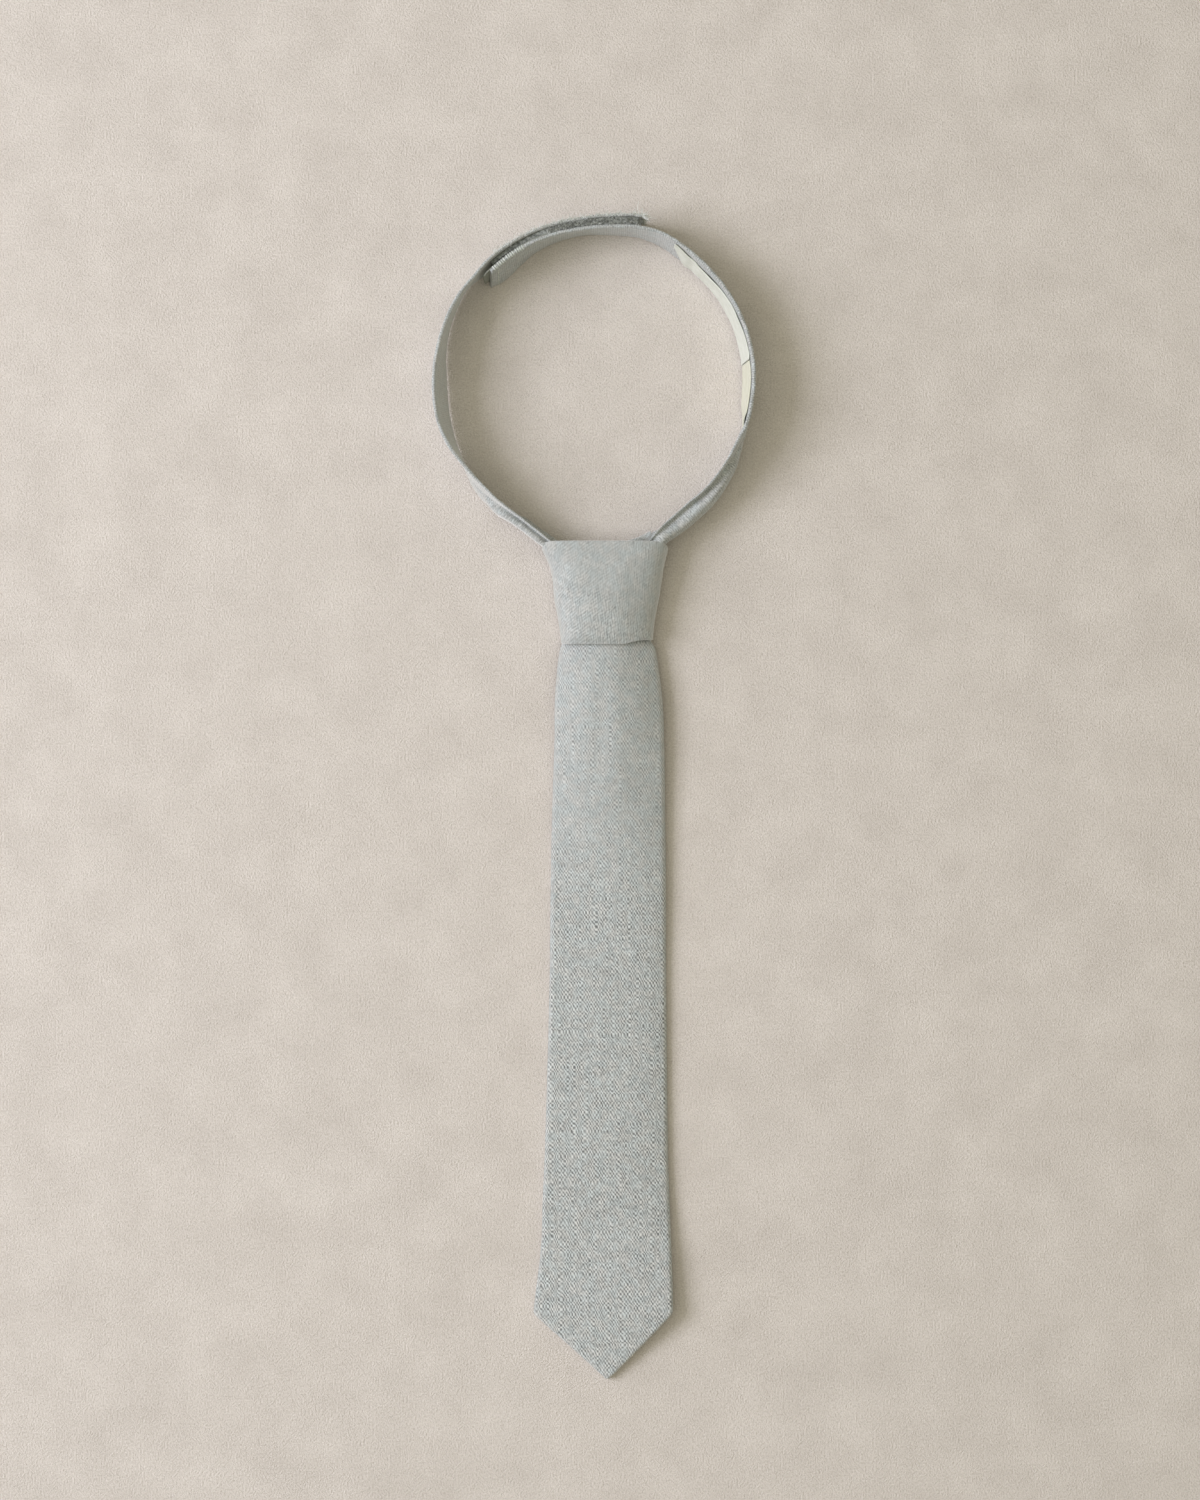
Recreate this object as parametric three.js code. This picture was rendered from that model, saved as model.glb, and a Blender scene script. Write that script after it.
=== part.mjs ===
// A child's skinny tie in linen, ready tied, on a neck strap that closes with hook-and-loop tape.
// It lies as it is laid out flat: the blade and knot on their backs, and the neck loop standing on
// its long lower edge. Lengths are in millimetres and angles in degrees. While the pieces are made,
// x is 0 on the knot's middle, y is 0 on the knot's lower edge and rises towards the neck loop, and
// z is 0 on the surface underneath. The finished group is then moved to stand over its own middle.
import * as THREE from 'three';

// Cloth thicknesses.
const bladeCloth = 1;
const knotCloth = 1.2;
const innerBandCloth = 0.9;
const strapCloth = 1;
const tapeCloth = 0.5;
const labelCloth = 0.8;

// The blade, from its end inside the knot down to its corners, and then the point. It comes out of the
// knot well above the surface, as an arch, and comes down on it. Its right corner turns up.
// along: the place on y; left, right: the edges on x; edge: the thickness at the folded edges; crown:
// how much thicker the middle is; lift: the height of the left edge's back over the surface; tilt: how
// much higher the right edge's back is; arch: how far the whole cloth rises between its edges.
const bladeRows = [
  { along: 19, left: -6.5, right: 6.5, edge: 3, crown: 0.6, lift: 3.6, tilt: 0, arch: 0.4 },
  { along: 12, left: -9, right: 9, edge: 2.8, crown: 0.7, lift: 3.5, tilt: 0.6, arch: 0.9 },
  { along: 4, left: -10.3, right: 10.3, edge: 2.6, crown: 0.7, lift: 3.3, tilt: 1.5, arch: 1.8 },
  { along: 0.6, left: -10.7, right: 10.7, edge: 2.4, crown: 0.7, lift: 3.1, tilt: 2, arch: 2.4 },
  { along: -0.6, left: -10.9, right: 10.9, edge: 2.4, crown: 0.7, lift: 3, tilt: 2.1, arch: 2.6 },
  { along: -0.8, left: -12.8, right: 13.2, edge: 2.4, crown: 0.7, lift: 2.4, tilt: 2.8, arch: 3.3 },
  { along: -7, left: -13.8, right: 14.4, edge: 2.4, crown: 0.7, lift: 2.3, tilt: 3, arch: 3.4 },
  { along: -16, left: -14.5, right: 15.5, edge: 2.4, crown: 0.7, lift: 2.1, tilt: 3.1, arch: 3.3 },
  { along: -27, left: -14.6, right: 16, edge: 2.4, crown: 0.7, lift: 1.5, tilt: 3.2, arch: 2.8 },
  { along: -48, left: -15.3, right: 16.3, edge: 2.4, crown: 0.6, lift: 0.3, tilt: 2.2, arch: 1.4 },
  { along: -69, left: -15.7, right: 16.5, edge: 2.4, crown: 0.6, lift: 0, tilt: 0.9, arch: 0.5 },
  { along: -95, left: -16, right: 16.6, edge: 2.4, crown: 0.6, lift: 0, tilt: 0, arch: 0 },
  { along: -142, left: -17.3, right: 17.1, edge: 2.4, crown: 0.5, lift: 0, tilt: 0, arch: 0 },
  { along: -155, left: -17.9, right: 17.5, edge: 2.4, crown: 0.5, lift: 0, tilt: 0.6, arch: 0 },
  { along: -169, left: -18.4, right: 18, edge: 2.4, crown: 0.4, lift: 0, tilt: 2.2, arch: 0 },
  { along: -186.8, left: -20.4, right: 18.5, edge: 2.3, crown: 0.3, lift: 0, tilt: 4.2, arch: 0 },
];
const bladePoint = [
  { along: -187.9, left: -20.4, right: 17.5, edge: 2.3, crown: 0.3, lift: 0, tilt: 4.1, arch: 0 },
  { along: -205, left: -1.1, right: 1.3, edge: 2.1, crown: 0, lift: 0.3, tilt: 0.5, arch: 0 },
];
// How far right of the middle the highest line lies, as a share of half the width.
const bladeRidge = 0.15;
const bladeStep = 12;
const bladeFaceCuts = 8;
const edgeCuts = 4;
const backSeam = 0.4;

// Shallow dents in the blade's face, each a soft oval hollow or, where it is below 0, a swelling.
const bladeDents = [
  { x: -2, y: -24, halfWidth: 4, halfLength: 16, depth: 0.35 },
  { x: 6, y: -14, halfWidth: 4, halfLength: 9, depth: -0.3 },
  { x: 10, y: -40, halfWidth: 5, halfLength: 14, depth: 0.25 },
  { x: -6, y: -70, halfWidth: 7, halfLength: 20, depth: 0.2 },
  { x: 5, y: -112, halfWidth: 8, halfLength: 18, depth: 0.2 },
  { x: -4, y: -165, halfWidth: 8, halfLength: 14, depth: 0.2 },
];

// The front of the knot, a tapering sleeve, from its lower edge up. leftUp, rightUp: the heights of
// the outermost places at the sides; square: how flat the front is; ridge: how far the front's highest
// line lies from the middle.
const knotRows = [
  { along: -0.3, left: -12.7, right: 12.6, thick: 12, leftUp: 4.6, rightUp: 7.6, square: 2.2, ridge: -2 },
  { along: 6.4, left: -13.6, right: 13.4, thick: 12.8, leftUp: 4.8, rightUp: 7.8, square: 2.2, ridge: -1.8 },
  { along: 12, left: -14.7, right: 14.5, thick: 13.3, leftUp: 5, rightUp: 7.8, square: 2.4, ridge: -1.4 },
  { along: 17, left: -15.1, right: 15.3, thick: 13.8, leftUp: 5.2, rightUp: 7.8, square: 2.8, ridge: -0.8 },
  { along: 21.5, left: -16.1, right: 16, thick: 14.2, leftUp: 5.6, rightUp: 7.6, square: 3.2, ridge: -0.4 },
  { along: 26.7, left: -18.6, right: 17.4, thick: 14.7, leftUp: 6.2, rightUp: 7.4, square: 3.6, ridge: 0 },
  { along: 27.7, left: -19.2, right: 17.9, thick: 14.8, leftUp: 6.2, rightUp: 7.4, square: 3.6, ridge: 0 },
];
const knotStep = 3;
const backSquareness = 5;
// Places round half of the sleeve's section: -90 is at the back, 0 at the side and 90 at the front.
const knotTurns = [-88.5, -70, -45, -20, 0, 18, 34, 50, 66, 80];
// At the back the sleeve is cut short at both ends, as the wrap turns away there. The cut starts
// at the first turn and is deepest from the last turn on.
const backShort = { from: 48, to: -60, below: 5, belowPower: 4, above: 11, abovePower: 2 };

// The neck straps. Each row is a place round the neck loop. radius: from the loop's centre to the
// strap's upper edge; lift: the height of its lowest part; lean: how far the cloth leans outwards on
// its way down.
const loopCentre = new THREE.Vector2(-3.55, 70.65);
const strapWidth = 18;

// Towards the knot the lower part of the left strap is turned up against its outer face.
// turn: the angle it is turned through; tuck: how much of the cloth is turned up.
const leftCrease = 2;
const leftStrapRows = [
  { around: 74, radius: 48.1, lift: 0, lean: 0, turn: 0, tuck: 0.5 },
  { around: 82, radius: 46.9, lift: 0, lean: 1, turn: 0, tuck: 0.5 },
  { around: 95, radius: 45.8, lift: 0, lean: 3, turn: 0, tuck: 0.5 },
  { around: 113, radius: 45.6, lift: 0, lean: 0, turn: 0, tuck: 0.5 },
  { around: 131, radius: 45.2, lift: 0, lean: -3, turn: 0, tuck: 0.5 },
  { around: 138, radius: 44.1, lift: 0, lean: 0, turn: 0, tuck: 0.5 },
  { around: 146, radius: 44.5, lift: 0, lean: 2, turn: 0, tuck: 0.5 },
  { around: 162, radius: 44.3, lift: 0.3, lean: -1.5, turn: 0, tuck: 0.5 },
  { around: 178, radius: 44.3, lift: 0.8, lean: -6.5, turn: 0, tuck: 0.5 },
  { around: 196, radius: 43.9, lift: 0.6, lean: -7, turn: 0, tuck: 0.5 },
  { around: 213, radius: 42.1, lift: 0.2, lean: 0.5, turn: 0, tuck: 0.5 },
  { around: 224, radius: 41.2, lift: 0, lean: 4, turn: 0, tuck: 0.5 },
  { around: 228, radius: 41.2, lift: 0, lean: 2.5, turn: 60, tuck: 0.5 },
  { around: 232, radius: 41.3, lift: 0, lean: 1.5, turn: 186, tuck: 0.5 },
  { around: 238, radius: 41.5, lift: 0, lean: 1, turn: 186, tuck: 2.5 },
  { around: 244, radius: 42.2, lift: 0, lean: 0.5, turn: 186, tuck: 4.8 },
  { around: 250, radius: 43.4, lift: 0, lean: 0, turn: 186, tuck: 7.3 },
  { around: 254, radius: 44.8, lift: 0.1, lean: 0, turn: 186, tuck: 7.3 },
  { around: 262, radius: 48.6, lift: 0.4, lean: 4, turn: 184, tuck: 7.1 },
];

// Towards the knot the right strap is folded outwards below its upper edge. fold: how far the crease
// is folded, from 0 to 1; wall: the cloth above the crease; up: the cloth that climbs again beyond it;
// crest: the cloth that rounds over to the outside; curl: how far the lower edge turns in.
const rightCrease = { flat: 0.6, folded: 1.9 };
const rightFold = { rise: 150, fall: 28 };
const rightStrapRows = [
  { around: -77, radius: 49.2, lift: 0.6, lean: 8, fold: 1, wall: 2.4, up: 0.5, crest: 2.3, curl: -175 },
  { around: -71, radius: 46, lift: 0.5, lean: 8, fold: 1, wall: 2.4, up: 0.5, crest: 2.3, curl: -175 },
  { around: -65, radius: 43.2, lift: 0.1, lean: 8, fold: 1, wall: 3.2, up: 0.5, crest: 2.6, curl: -150 },
  { around: -59, radius: 42, lift: 0, lean: 8, fold: 1, wall: 4.8, up: 0.5, crest: 3.4, curl: -90 },
  { around: -51, radius: 41.4, lift: 0, lean: 7, fold: 0.9, wall: 7, up: 0.5, crest: 3, curl: -45 },
  { around: -42, radius: 41.5, lift: 0, lean: 7, fold: 0.6, wall: 8, up: 0.5, crest: 1.8, curl: -20 },
  { around: -34, radius: 41.7, lift: 0, lean: 6.5, fold: 0.25, wall: 8, up: 0.5, crest: 1.2, curl: -6 },
  { around: -26, radius: 41.9, lift: 0, lean: 5, fold: 0, wall: 8, up: 0.5, crest: 0.8, curl: 0 },
  { around: -20, radius: 42.2, lift: 0, lean: 3.2, fold: 0, wall: 8, up: 0.5, crest: 0.8, curl: 0 },
  { around: -14, radius: 43, lift: 0, lean: 0, fold: 0, wall: 8, up: 0.5, crest: 0.8, curl: 0 },
  { around: -6, radius: 43.8, lift: 0, lean: -6, fold: 0, wall: 8, up: 0.5, crest: 0.8, curl: 0 },
  { around: 10, radius: 44.65, lift: 0, lean: -6.5, fold: 0, wall: 8, up: 0.5, crest: 0.8, curl: 0 },
  { around: 30, radius: 45.05, lift: 0, lean: -3, fold: 0, wall: 8, up: 0.5, crest: 0.8, curl: 0 },
  { around: 50, radius: 45.45, lift: 0, lean: -3, fold: 0, wall: 8, up: 0.5, crest: 0.8, curl: 0 },
  { around: 65, radius: 45.85, lift: 0, lean: -3, fold: 0, wall: 8, up: 0.5, crest: 0.8, curl: 0 },
  { around: 74, radius: 45, lift: 0, lean: 0, fold: 0, wall: 8, up: 0.5, crest: 0.8, curl: 0 },
  { around: 82, radius: 43.9, lift: 0, lean: 1, fold: 0, wall: 8, up: 0.5, crest: 0.8, curl: 0 },
  { around: 95, radius: 42.9, lift: 0, lean: 3, fold: 0, wall: 8, up: 0.5, crest: 0.8, curl: 0 },
  { around: 113, radius: 42.7, lift: 0, lean: 0, fold: 0, wall: 8, up: 0.5, crest: 0.8, curl: 0 },
  { around: 131, radius: 42.3, lift: 0, lean: -3, fold: 0, wall: 8, up: 0.5, crest: 0.8, curl: 0 },
];
const strapStep = 6;

// What lies flat against a strap. standOff: the space between it and the strap's face; top, bottom:
// how far below the strap's upper edge it starts and ends.
const loopTapeRows = [
  { around: 75, standOff: 0.28, top: 2, bottom: 16 },
  { around: 130, standOff: 0.28, top: 2, bottom: 16 },
];
const hookTapeRows = [
  { around: 79, standOff: 0.28, top: 2.5, bottom: 15.5 },
  { around: 129.5, standOff: 0.28, top: 2.5, bottom: 15.5 },
];
const neckLabelRows = [
  { around: 12, standOff: 0.35, top: 2, bottom: 16 },
  { around: 38, standOff: 0.4, top: 2, bottom: 16 },
  { around: 48, standOff: 1.2, top: 2.2, bottom: 15 },
  { around: 54.5, standOff: 0.8, top: 1.6, bottom: 16 },
  { around: 59.5, standOff: 0.4, top: 0.8, bottom: 3 },
];
const sizeLabelRows = [
  { around: -15.5, standOff: 0.4, top: 12, bottom: 16.5 },
  { around: -10.5, standOff: 0.5, top: 2.2, bottom: 16.5 },
  { around: 0, standOff: 0.9, top: 2, bottom: 16.5 },
  { around: 10, standOff: 0.5, top: 2, bottom: 16 },
];

// The inner wrap of the knot. It stands just behind the knot's upper edge, from strap to strap, and
// bends forwards at the top. At the right it comes out as a lip round the strap.
// foot: the height of its lower edge; high: the height of its bend; tongue: how far it reaches
// forwards beyond the bend.
const innerBandRows = [
  { along: -8, y: 25.8, foot: 0.5, high: 11.8, tongue: 0.6 },
  { along: -3, y: 26.4, foot: 0.5, high: 12.3, tongue: 2 },
  { along: 4, y: 27.2, foot: 0.5, high: 12, tongue: 2.4 },
  { along: 8, y: 28.4, foot: 3.5, high: 10.4, tongue: 2 },
  { along: 10.8, y: 30.1, foot: 5.6, high: 9, tongue: 1.2 },
  { along: 12.3, y: 31.1, foot: 6.2, high: 8.8, tongue: 0.3 },
];
const innerBandStep = 1.5;
const innerBandBend = 1.2;

// The colours of the linen, the closure's tape and the two labels.
const linen = 0xb9bdb8;
const paleLinen = 0xbfc3bd;
const tapeGrey = 0x8f938b;
const labelCream = 0xe6e3d6;
const labelYellow = 0xe2ddc2;

const radians = THREE.MathUtils.degToRad;
const lerp = THREE.MathUtils.lerp;
const clamp = THREE.MathUtils.clamp;

// One column of a table at any place, on a smooth curve through the rows around it.
function columnAt(rows, key, place, column) {
  const falling = rows[0][key] > rows[1][key];
  const beyond = rows.findIndex((row) => (falling ? row[key] <= place : row[key] >= place));
  const after = beyond < 0 ? rows.length - 1 : Math.max(beyond, 1);
  const slope = (i) => {
    const low = rows[Math.max(i - 1, 0)];
    const high = rows[Math.min(i + 1, rows.length - 1)];
    return (high[column] - low[column]) / (high[key] - low[key]);
  };
  const [a, b] = [rows[after - 1], rows[after]];
  const span = b[key] - a[key];
  const t = (place - a[key]) / span;
  if (t < 0) return a[column] + slope(after - 1) * (place - a[key]);
  if (t > 1) return b[column] + slope(after) * (place - b[key]);
  return (2 * t ** 3 - 3 * t ** 2 + 1) * a[column]
    + (t ** 3 - 2 * t ** 2 + t) * span * slope(after - 1)
    + (3 * t ** 2 - 2 * t ** 3) * b[column]
    + (t ** 3 - t ** 2) * span * slope(after);
}

function rowAt(rows, key, place) {
  const row = { [key]: place };
  for (const column of Object.keys(rows[0])) {
    if (column !== key) row[column] = columnAt(rows, key, place, column);
  }
  return row;
}

// Places from one end of a table to the other, through every row, with steps of at most the given size.
function placesThrough(rows, key, step) {
  const places = [rows[0][key]];
  for (let i = 1; i < rows.length; i += 1) {
    const [from, to] = [rows[i - 1][key], rows[i][key]];
    const cuts = Math.ceil(Math.abs(to - from) / step);
    for (let cut = 1; cut <= cuts; cut += 1) places.push(lerp(from, to, cut / cuts));
  }
  return places;
}

// The two faces of a cloth whose middle runs through the given points of a section.
function twoFaces(middle, thickness) {
  const faces = { front: [], back: [] };
  middle.forEach((point, i) => {
    const before = middle[Math.max(i - 1, 0)];
    const next = middle[Math.min(i + 1, middle.length - 1)];
    const run = new THREE.Vector2().subVectors(next, before).normalize();
    const side = new THREE.Vector2(-run.y, run.x).multiplyScalar(thickness / 2);
    faces.front.push(point.clone().add(side));
    faces.back.push(point.clone().sub(side));
  });
  return faces;
}

// A closed body from a row of sections, each with the points of the cloth's front and back faces.
function clothBody(sections) {
  const wide = sections[0].front.length;
  const ring = 2 * wide;
  const points = sections.flatMap(({ front, back }) => [...front, ...back.toReversed()]);
  const triangles = [];
  const square = (a, b, c, d) => triangles.push([a, b, c], [a, c, d]);
  for (let s = 0; s + 1 < sections.length; s += 1) {
    for (let i = 0; i < ring; i += 1) {
      const j = (i + 1) % ring;
      square(s * ring + i, s * ring + j, (s + 1) * ring + j, (s + 1) * ring + i);
    }
  }
  const last = (sections.length - 1) * ring;
  for (let i = 0; i + 1 < wide; i += 1) {
    const [back, nextBack] = [ring - 1 - i, ring - 2 - i];
    square(i, back, nextBack, i + 1);
    square(last + i, last + i + 1, last + nextBack, last + back);
  }
  const volume = triangles.reduce((sum, [a, b, c]) => (
    sum + points[a].dot(new THREE.Vector3().crossVectors(points[b], points[c]))
  ), 0);
  const faces = volume > 0 ? triangles : triangles.map(([a, b, c]) => [a, c, b]);
  const geometry = new THREE.BufferGeometry().setFromPoints(points);
  geometry.setIndex(faces.flat());
  geometry.computeVertexNormals();
  return geometry;
}

function clothPiece(name, color, sections) {
  const material = new THREE.MeshStandardMaterial({ color, roughness: 0.95, metalness: 0 });
  const piece = new THREE.Mesh(clothBody(sections), material);
  piece.name = name;
  return piece;
}

// Points on part of a circle, from one angle to the other, the ends included.
function arcPoints(centreX, centreZ, radius, from, to, cuts) {
  return Array.from({ length: cuts + 1 }, (_, i) => {
    const angle = radians(lerp(from, to, i / cuts));
    return new THREE.Vector2(centreX + radius * Math.cos(angle), centreZ + radius * Math.sin(angle));
  });
}

function dentDepth(x, y) {
  return bladeDents.reduce((sum, dent) => {
    const away = ((x - dent.x) / dent.halfWidth) ** 2 + ((y - dent.y) / dent.halfLength) ** 2;
    return sum + dent.depth * Math.exp(-away);
  }, 0);
}

// The blade's section: from the back seam round the right edge, over the face, round the left edge
// and back to the seam.
function bladeSection(row) {
  const bend = (row.edge - bladeCloth) / 2;
  const middleZ = row.lift + row.edge / 2;
  const rightBend = row.right - row.edge / 2;
  const leftBend = row.left + row.edge / 2;
  const seamX = (row.left + row.right) / 2;
  const backZ = row.lift + bladeCloth / 2;
  const seamHalf = Math.min(backSeam / 2, (rightBend - leftBend) / 4);
  const middle = [
    new THREE.Vector2(seamX + seamHalf, backZ + row.arch),
    ...arcPoints(rightBend, middleZ, bend, -90, 90, edgeCuts),
  ];
  for (let i = 1; i < bladeFaceCuts; i += 1) {
    const x = lerp(rightBend, leftBend, i / bladeFaceCuts);
    const across = (2 * i) / bladeFaceCuts - 1;
    const swell = 1 - (across + bladeRidge * (1 - across ** 2)) ** 2;
    const z = middleZ + bend + swell * (row.arch + row.crown - dentDepth(x, row.along));
    middle.push(new THREE.Vector2(x, z));
  }
  middle.push(...arcPoints(leftBend, middleZ, bend, 90, 270, edgeCuts));
  middle.push(new THREE.Vector2(seamX - seamHalf, backZ + row.arch));
  const tilted = (point) => (row.tilt * (point.x - row.left)) / (row.right - row.left);
  const place = (point) => new THREE.Vector3(point.x, row.along, point.y + tilted(point));
  const { front, back } = twoFaces(middle, bladeCloth);
  return { front: front.map(place), back: back.map(place) };
}

function frontBlade() {
  const rows = placesThrough(bladeRows, 'along', bladeStep).map((at) => rowAt(bladeRows, 'along', at));
  for (const row of rows) {
    for (const column of ['lift', 'tilt', 'arch']) row[column] = Math.max(row[column], 0);
  }
  for (const share of [0, 0.5, 1]) {
    const [corner, tip] = bladePoint;
    rows.push(Object.fromEntries(Object.keys(tip).map((key) => [key, lerp(corner[key], tip[key], share)])));
  }
  return clothPiece('front_blade', linen, rows.map(bladeSection));
}

// The sleeve's section runs from the back seam round the right side, over the front and round the left.
function knotSection(row) {
  const halfWidth = (row.right - row.left) / 2 - knotCloth / 2;
  const centreX = (row.left + row.right) / 2;
  const high = row.thick - knotCloth / 2;
  const low = knotCloth / 2;
  const squared = (value, squareness) => Math.sign(value) * Math.abs(value) ** (2 / squareness);
  const onSide = (turn, side) => {
    const squareness = turn < 0 ? backSquareness : row.square;
    const across = side * squared(Math.cos(radians(turn)), squareness);
    const outermost = lerp(row.leftUp, row.rightUp, (across + 1) / 2);
    const ridge = turn > 0 ? row.ridge * (1 - across ** 2) : 0;
    const rise = (turn > 0 ? high - outermost : outermost - low) * squared(Math.sin(radians(turn)), squareness);
    return new THREE.Vector2(centreX + ridge + halfWidth * across, outermost + rise);
  };
  const top = new THREE.Vector2(centreX + row.ridge, high);
  const middle = [
    ...knotTurns.map((turn) => onSide(turn, 1)),
    top,
    ...knotTurns.toReversed().map((turn) => onSide(turn, -1)),
  ];
  const turns = [...knotTurns, 90, ...knotTurns.toReversed()];
  const place = (point, i) => {
    const height = knotRows.at(-1).along;
    const behind = clamp((turns[i] - backShort.from) / (backShort.to - backShort.from), 0, 1);
    const start = backShort.below * behind ** backShort.belowPower;
    const end = height - backShort.above * behind ** backShort.abovePower;
    return new THREE.Vector3(point.x, lerp(start, end, row.along / height), point.y);
  };
  const { front, back } = twoFaces(middle, knotCloth);
  return { front: front.map(place), back: back.map(place) };
}

function knotFrontBand() {
  const rows = placesThrough(knotRows, 'along', knotStep).map((at) => rowAt(knotRows, 'along', at));
  return clothPiece('knot_front_band', paleLinen, rows.map(knotSection));
}

// The inner band's section runs from its foot up to the bend and then forwards, away from the loop.
function innerBandSection(row, outward) {
  const bend = innerBandBend;
  const middle = [
    new THREE.Vector2(0, row.foot),
    new THREE.Vector2(0, (row.foot + row.high - bend) / 2),
    ...arcPoints(-bend, row.high - bend, bend, 0, 90, 3),
    new THREE.Vector2(-bend - row.tongue, row.high),
  ];
  const place = (point) => new THREE.Vector3(
    row.along + outward.x * point.x,
    row.y + outward.y * point.x,
    point.y,
  );
  const { front, back } = twoFaces(middle, innerBandCloth);
  return { front: front.map(place), back: back.map(place) };
}

function knotInnerBand() {
  const sections = placesThrough(innerBandRows, 'along', innerBandStep).map((along) => {
    const row = rowAt(innerBandRows, 'along', along);
    return innerBandSection(row, new THREE.Vector2(0, 1));
  });
  return clothPiece('knot_inner_band', paleLinen, sections);
}

// Where a strap's upper edge is at some place round the loop, and which way is outwards there.
function strapPlace(rows, around) {
  const edge = (angle) => {
    const radius = columnAt(rows, 'around', angle, 'radius');
    return new THREE.Vector2(Math.cos(radians(angle)), Math.sin(radians(angle)))
      .multiplyScalar(radius)
      .add(loopCentre);
  };
  const run = new THREE.Vector2().subVectors(edge(around + 0.5), edge(around - 0.5)).normalize();
  return { edge: edge(around), outward: new THREE.Vector2(run.y, -run.x) };
}

// The legs of a strap's section from its upper edge down, each with its length, its direction at both
// ends and its number of cuts. A direction of 0 is down, 90 outwards and 180 up.
function leftLegs(row) {
  const turned = row.lean + row.turn;
  return [
    { length: strapWidth - leftCrease - row.tuck, from: row.lean, to: row.lean, cuts: 4 },
    { length: leftCrease, from: row.lean, to: turned, cuts: 5 },
    { length: row.tuck, from: turned, to: turned, cuts: 2 },
  ];
}

function rightLegs(row) {
  const rise = lerp(row.lean, rightFold.rise, row.fold);
  const fall = lerp(row.lean, rightFold.fall, row.fold);
  const crease = lerp(rightCrease.flat, rightCrease.folded, row.fold);
  const rest = strapWidth - row.wall - crease - row.up - row.crest;
  return [
    { length: row.wall, from: row.lean, to: row.lean, cuts: 2 },
    { length: crease, from: row.lean, to: rise, cuts: 3 },
    { length: row.up, from: rise, to: rise, cuts: 1 },
    { length: row.crest, from: rise, to: fall, cuts: 4 },
    { length: rest, from: fall, to: fall + row.curl, cuts: 4 },
  ];
}

// The middle of a strap's cloth at some place round the loop, from the upper edge down: x is outwards
// and y is the height.
function strapMiddle(strap, around) {
  const row = rowAt(strap.rows, 'around', around);
  const middle = [new THREE.Vector2(0, 0)];
  for (const leg of strap.legs(row)) {
    for (let cut = 0; cut < leg.cuts; cut += 1) {
      const angle = radians(lerp(leg.from, leg.to, (cut + 0.5) / leg.cuts));
      const step = new THREE.Vector2(Math.sin(angle), -Math.cos(angle)).multiplyScalar(leg.length / leg.cuts);
      middle.push(middle.at(-1).clone().add(step));
    }
  }
  const { front, back } = twoFaces(middle, strapCloth);
  const lowest = Math.min(...[...front, ...back].map((point) => point.y));
  const lift = Math.max(row.lift, 0);
  return middle.map((point) => new THREE.Vector2(point.x, point.y - lowest + lift));
}

function strapPiece(name, color, strap) {
  const sections = placesThrough(strap.rows, 'around', strapStep).map((around) => {
    const { edge, outward } = strapPlace(strap.rows, around);
    const place = (point) => new THREE.Vector3(
      edge.x + outward.x * point.x,
      edge.y + outward.y * point.x,
      point.y,
    );
    const { front, back } = twoFaces(strapMiddle(strap, around), strapCloth);
    return { front: front.map(place), back: back.map(place) };
  });
  return clothPiece(name, color, sections);
}

// A piece that lies against an unfolded part of a strap. side is -1 on the strap's inner face and 1
// on its outer face.
function againstStrap(name, color, strap, rows, thickness, side) {
  const sections = placesThrough(rows, 'around', strapStep).map((around) => {
    const row = rowAt(rows, 'around', around);
    const lean = radians(columnAt(strap.rows, 'around', around, 'lean'));
    const upper = strapMiddle(strap, around)[0];
    const { edge, outward } = strapPlace(strap.rows, around);
    const away = side * (strapCloth / 2 + row.standOff + thickness / 2);
    const middle = [0, 0.5, 1].map((share) => {
      const down = lerp(row.top, row.bottom, share);
      return new THREE.Vector2(
        upper.x + down * Math.sin(lean) + away * Math.cos(lean),
        upper.y - down * Math.cos(lean) + away * Math.sin(lean),
      );
    });
    const place = (point) => new THREE.Vector3(
      edge.x + outward.x * point.x,
      edge.y + outward.y * point.x,
      point.y,
    );
    const { front, back } = twoFaces(middle, thickness);
    return { front: front.map(place), back: back.map(place) };
  });
  return clothPiece(name, color, sections);
}

const leftStrap = { rows: leftStrapRows, legs: leftLegs };
const rightStrap = { rows: rightStrapRows, legs: rightLegs };
const tie = new THREE.Group();
tie.add(
  frontBlade(),
  knotFrontBand(),
  knotInnerBand(),
  strapPiece('strap_left', linen, leftStrap),
  strapPiece('strap_right', linen, rightStrap),
  againstStrap('loop_tape', tapeGrey, leftStrap, loopTapeRows, tapeCloth, -1),
  againstStrap('hook_tape', tapeGrey, rightStrap, hookTapeRows, tapeCloth, 1),
  againstStrap('neck_label', labelCream, rightStrap, neckLabelRows, labelCloth, -1),
  againstStrap('size_label', labelYellow, rightStrap, sizeLabelRows, labelCloth, -1),
);

const box = new THREE.Box3().setFromObject(tie);
const boxMiddle = box.getCenter(new THREE.Vector3());
tie.position.set(-boxMiddle.x, -boxMiddle.y, -box.min.z);

export default tie;
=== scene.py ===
"""A child's ready-tied skinny tie in pale linen, laid out flat and seen from straight above.

Every piece is worked out in millimetres from short tables, with x 0 on the knot's middle, y 0 on the
knot's lower edge and z 0 on the floor. Its mesh is then moved into the part's own frame and scaled to
metres. Angles are in degrees.
"""

import math

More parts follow.
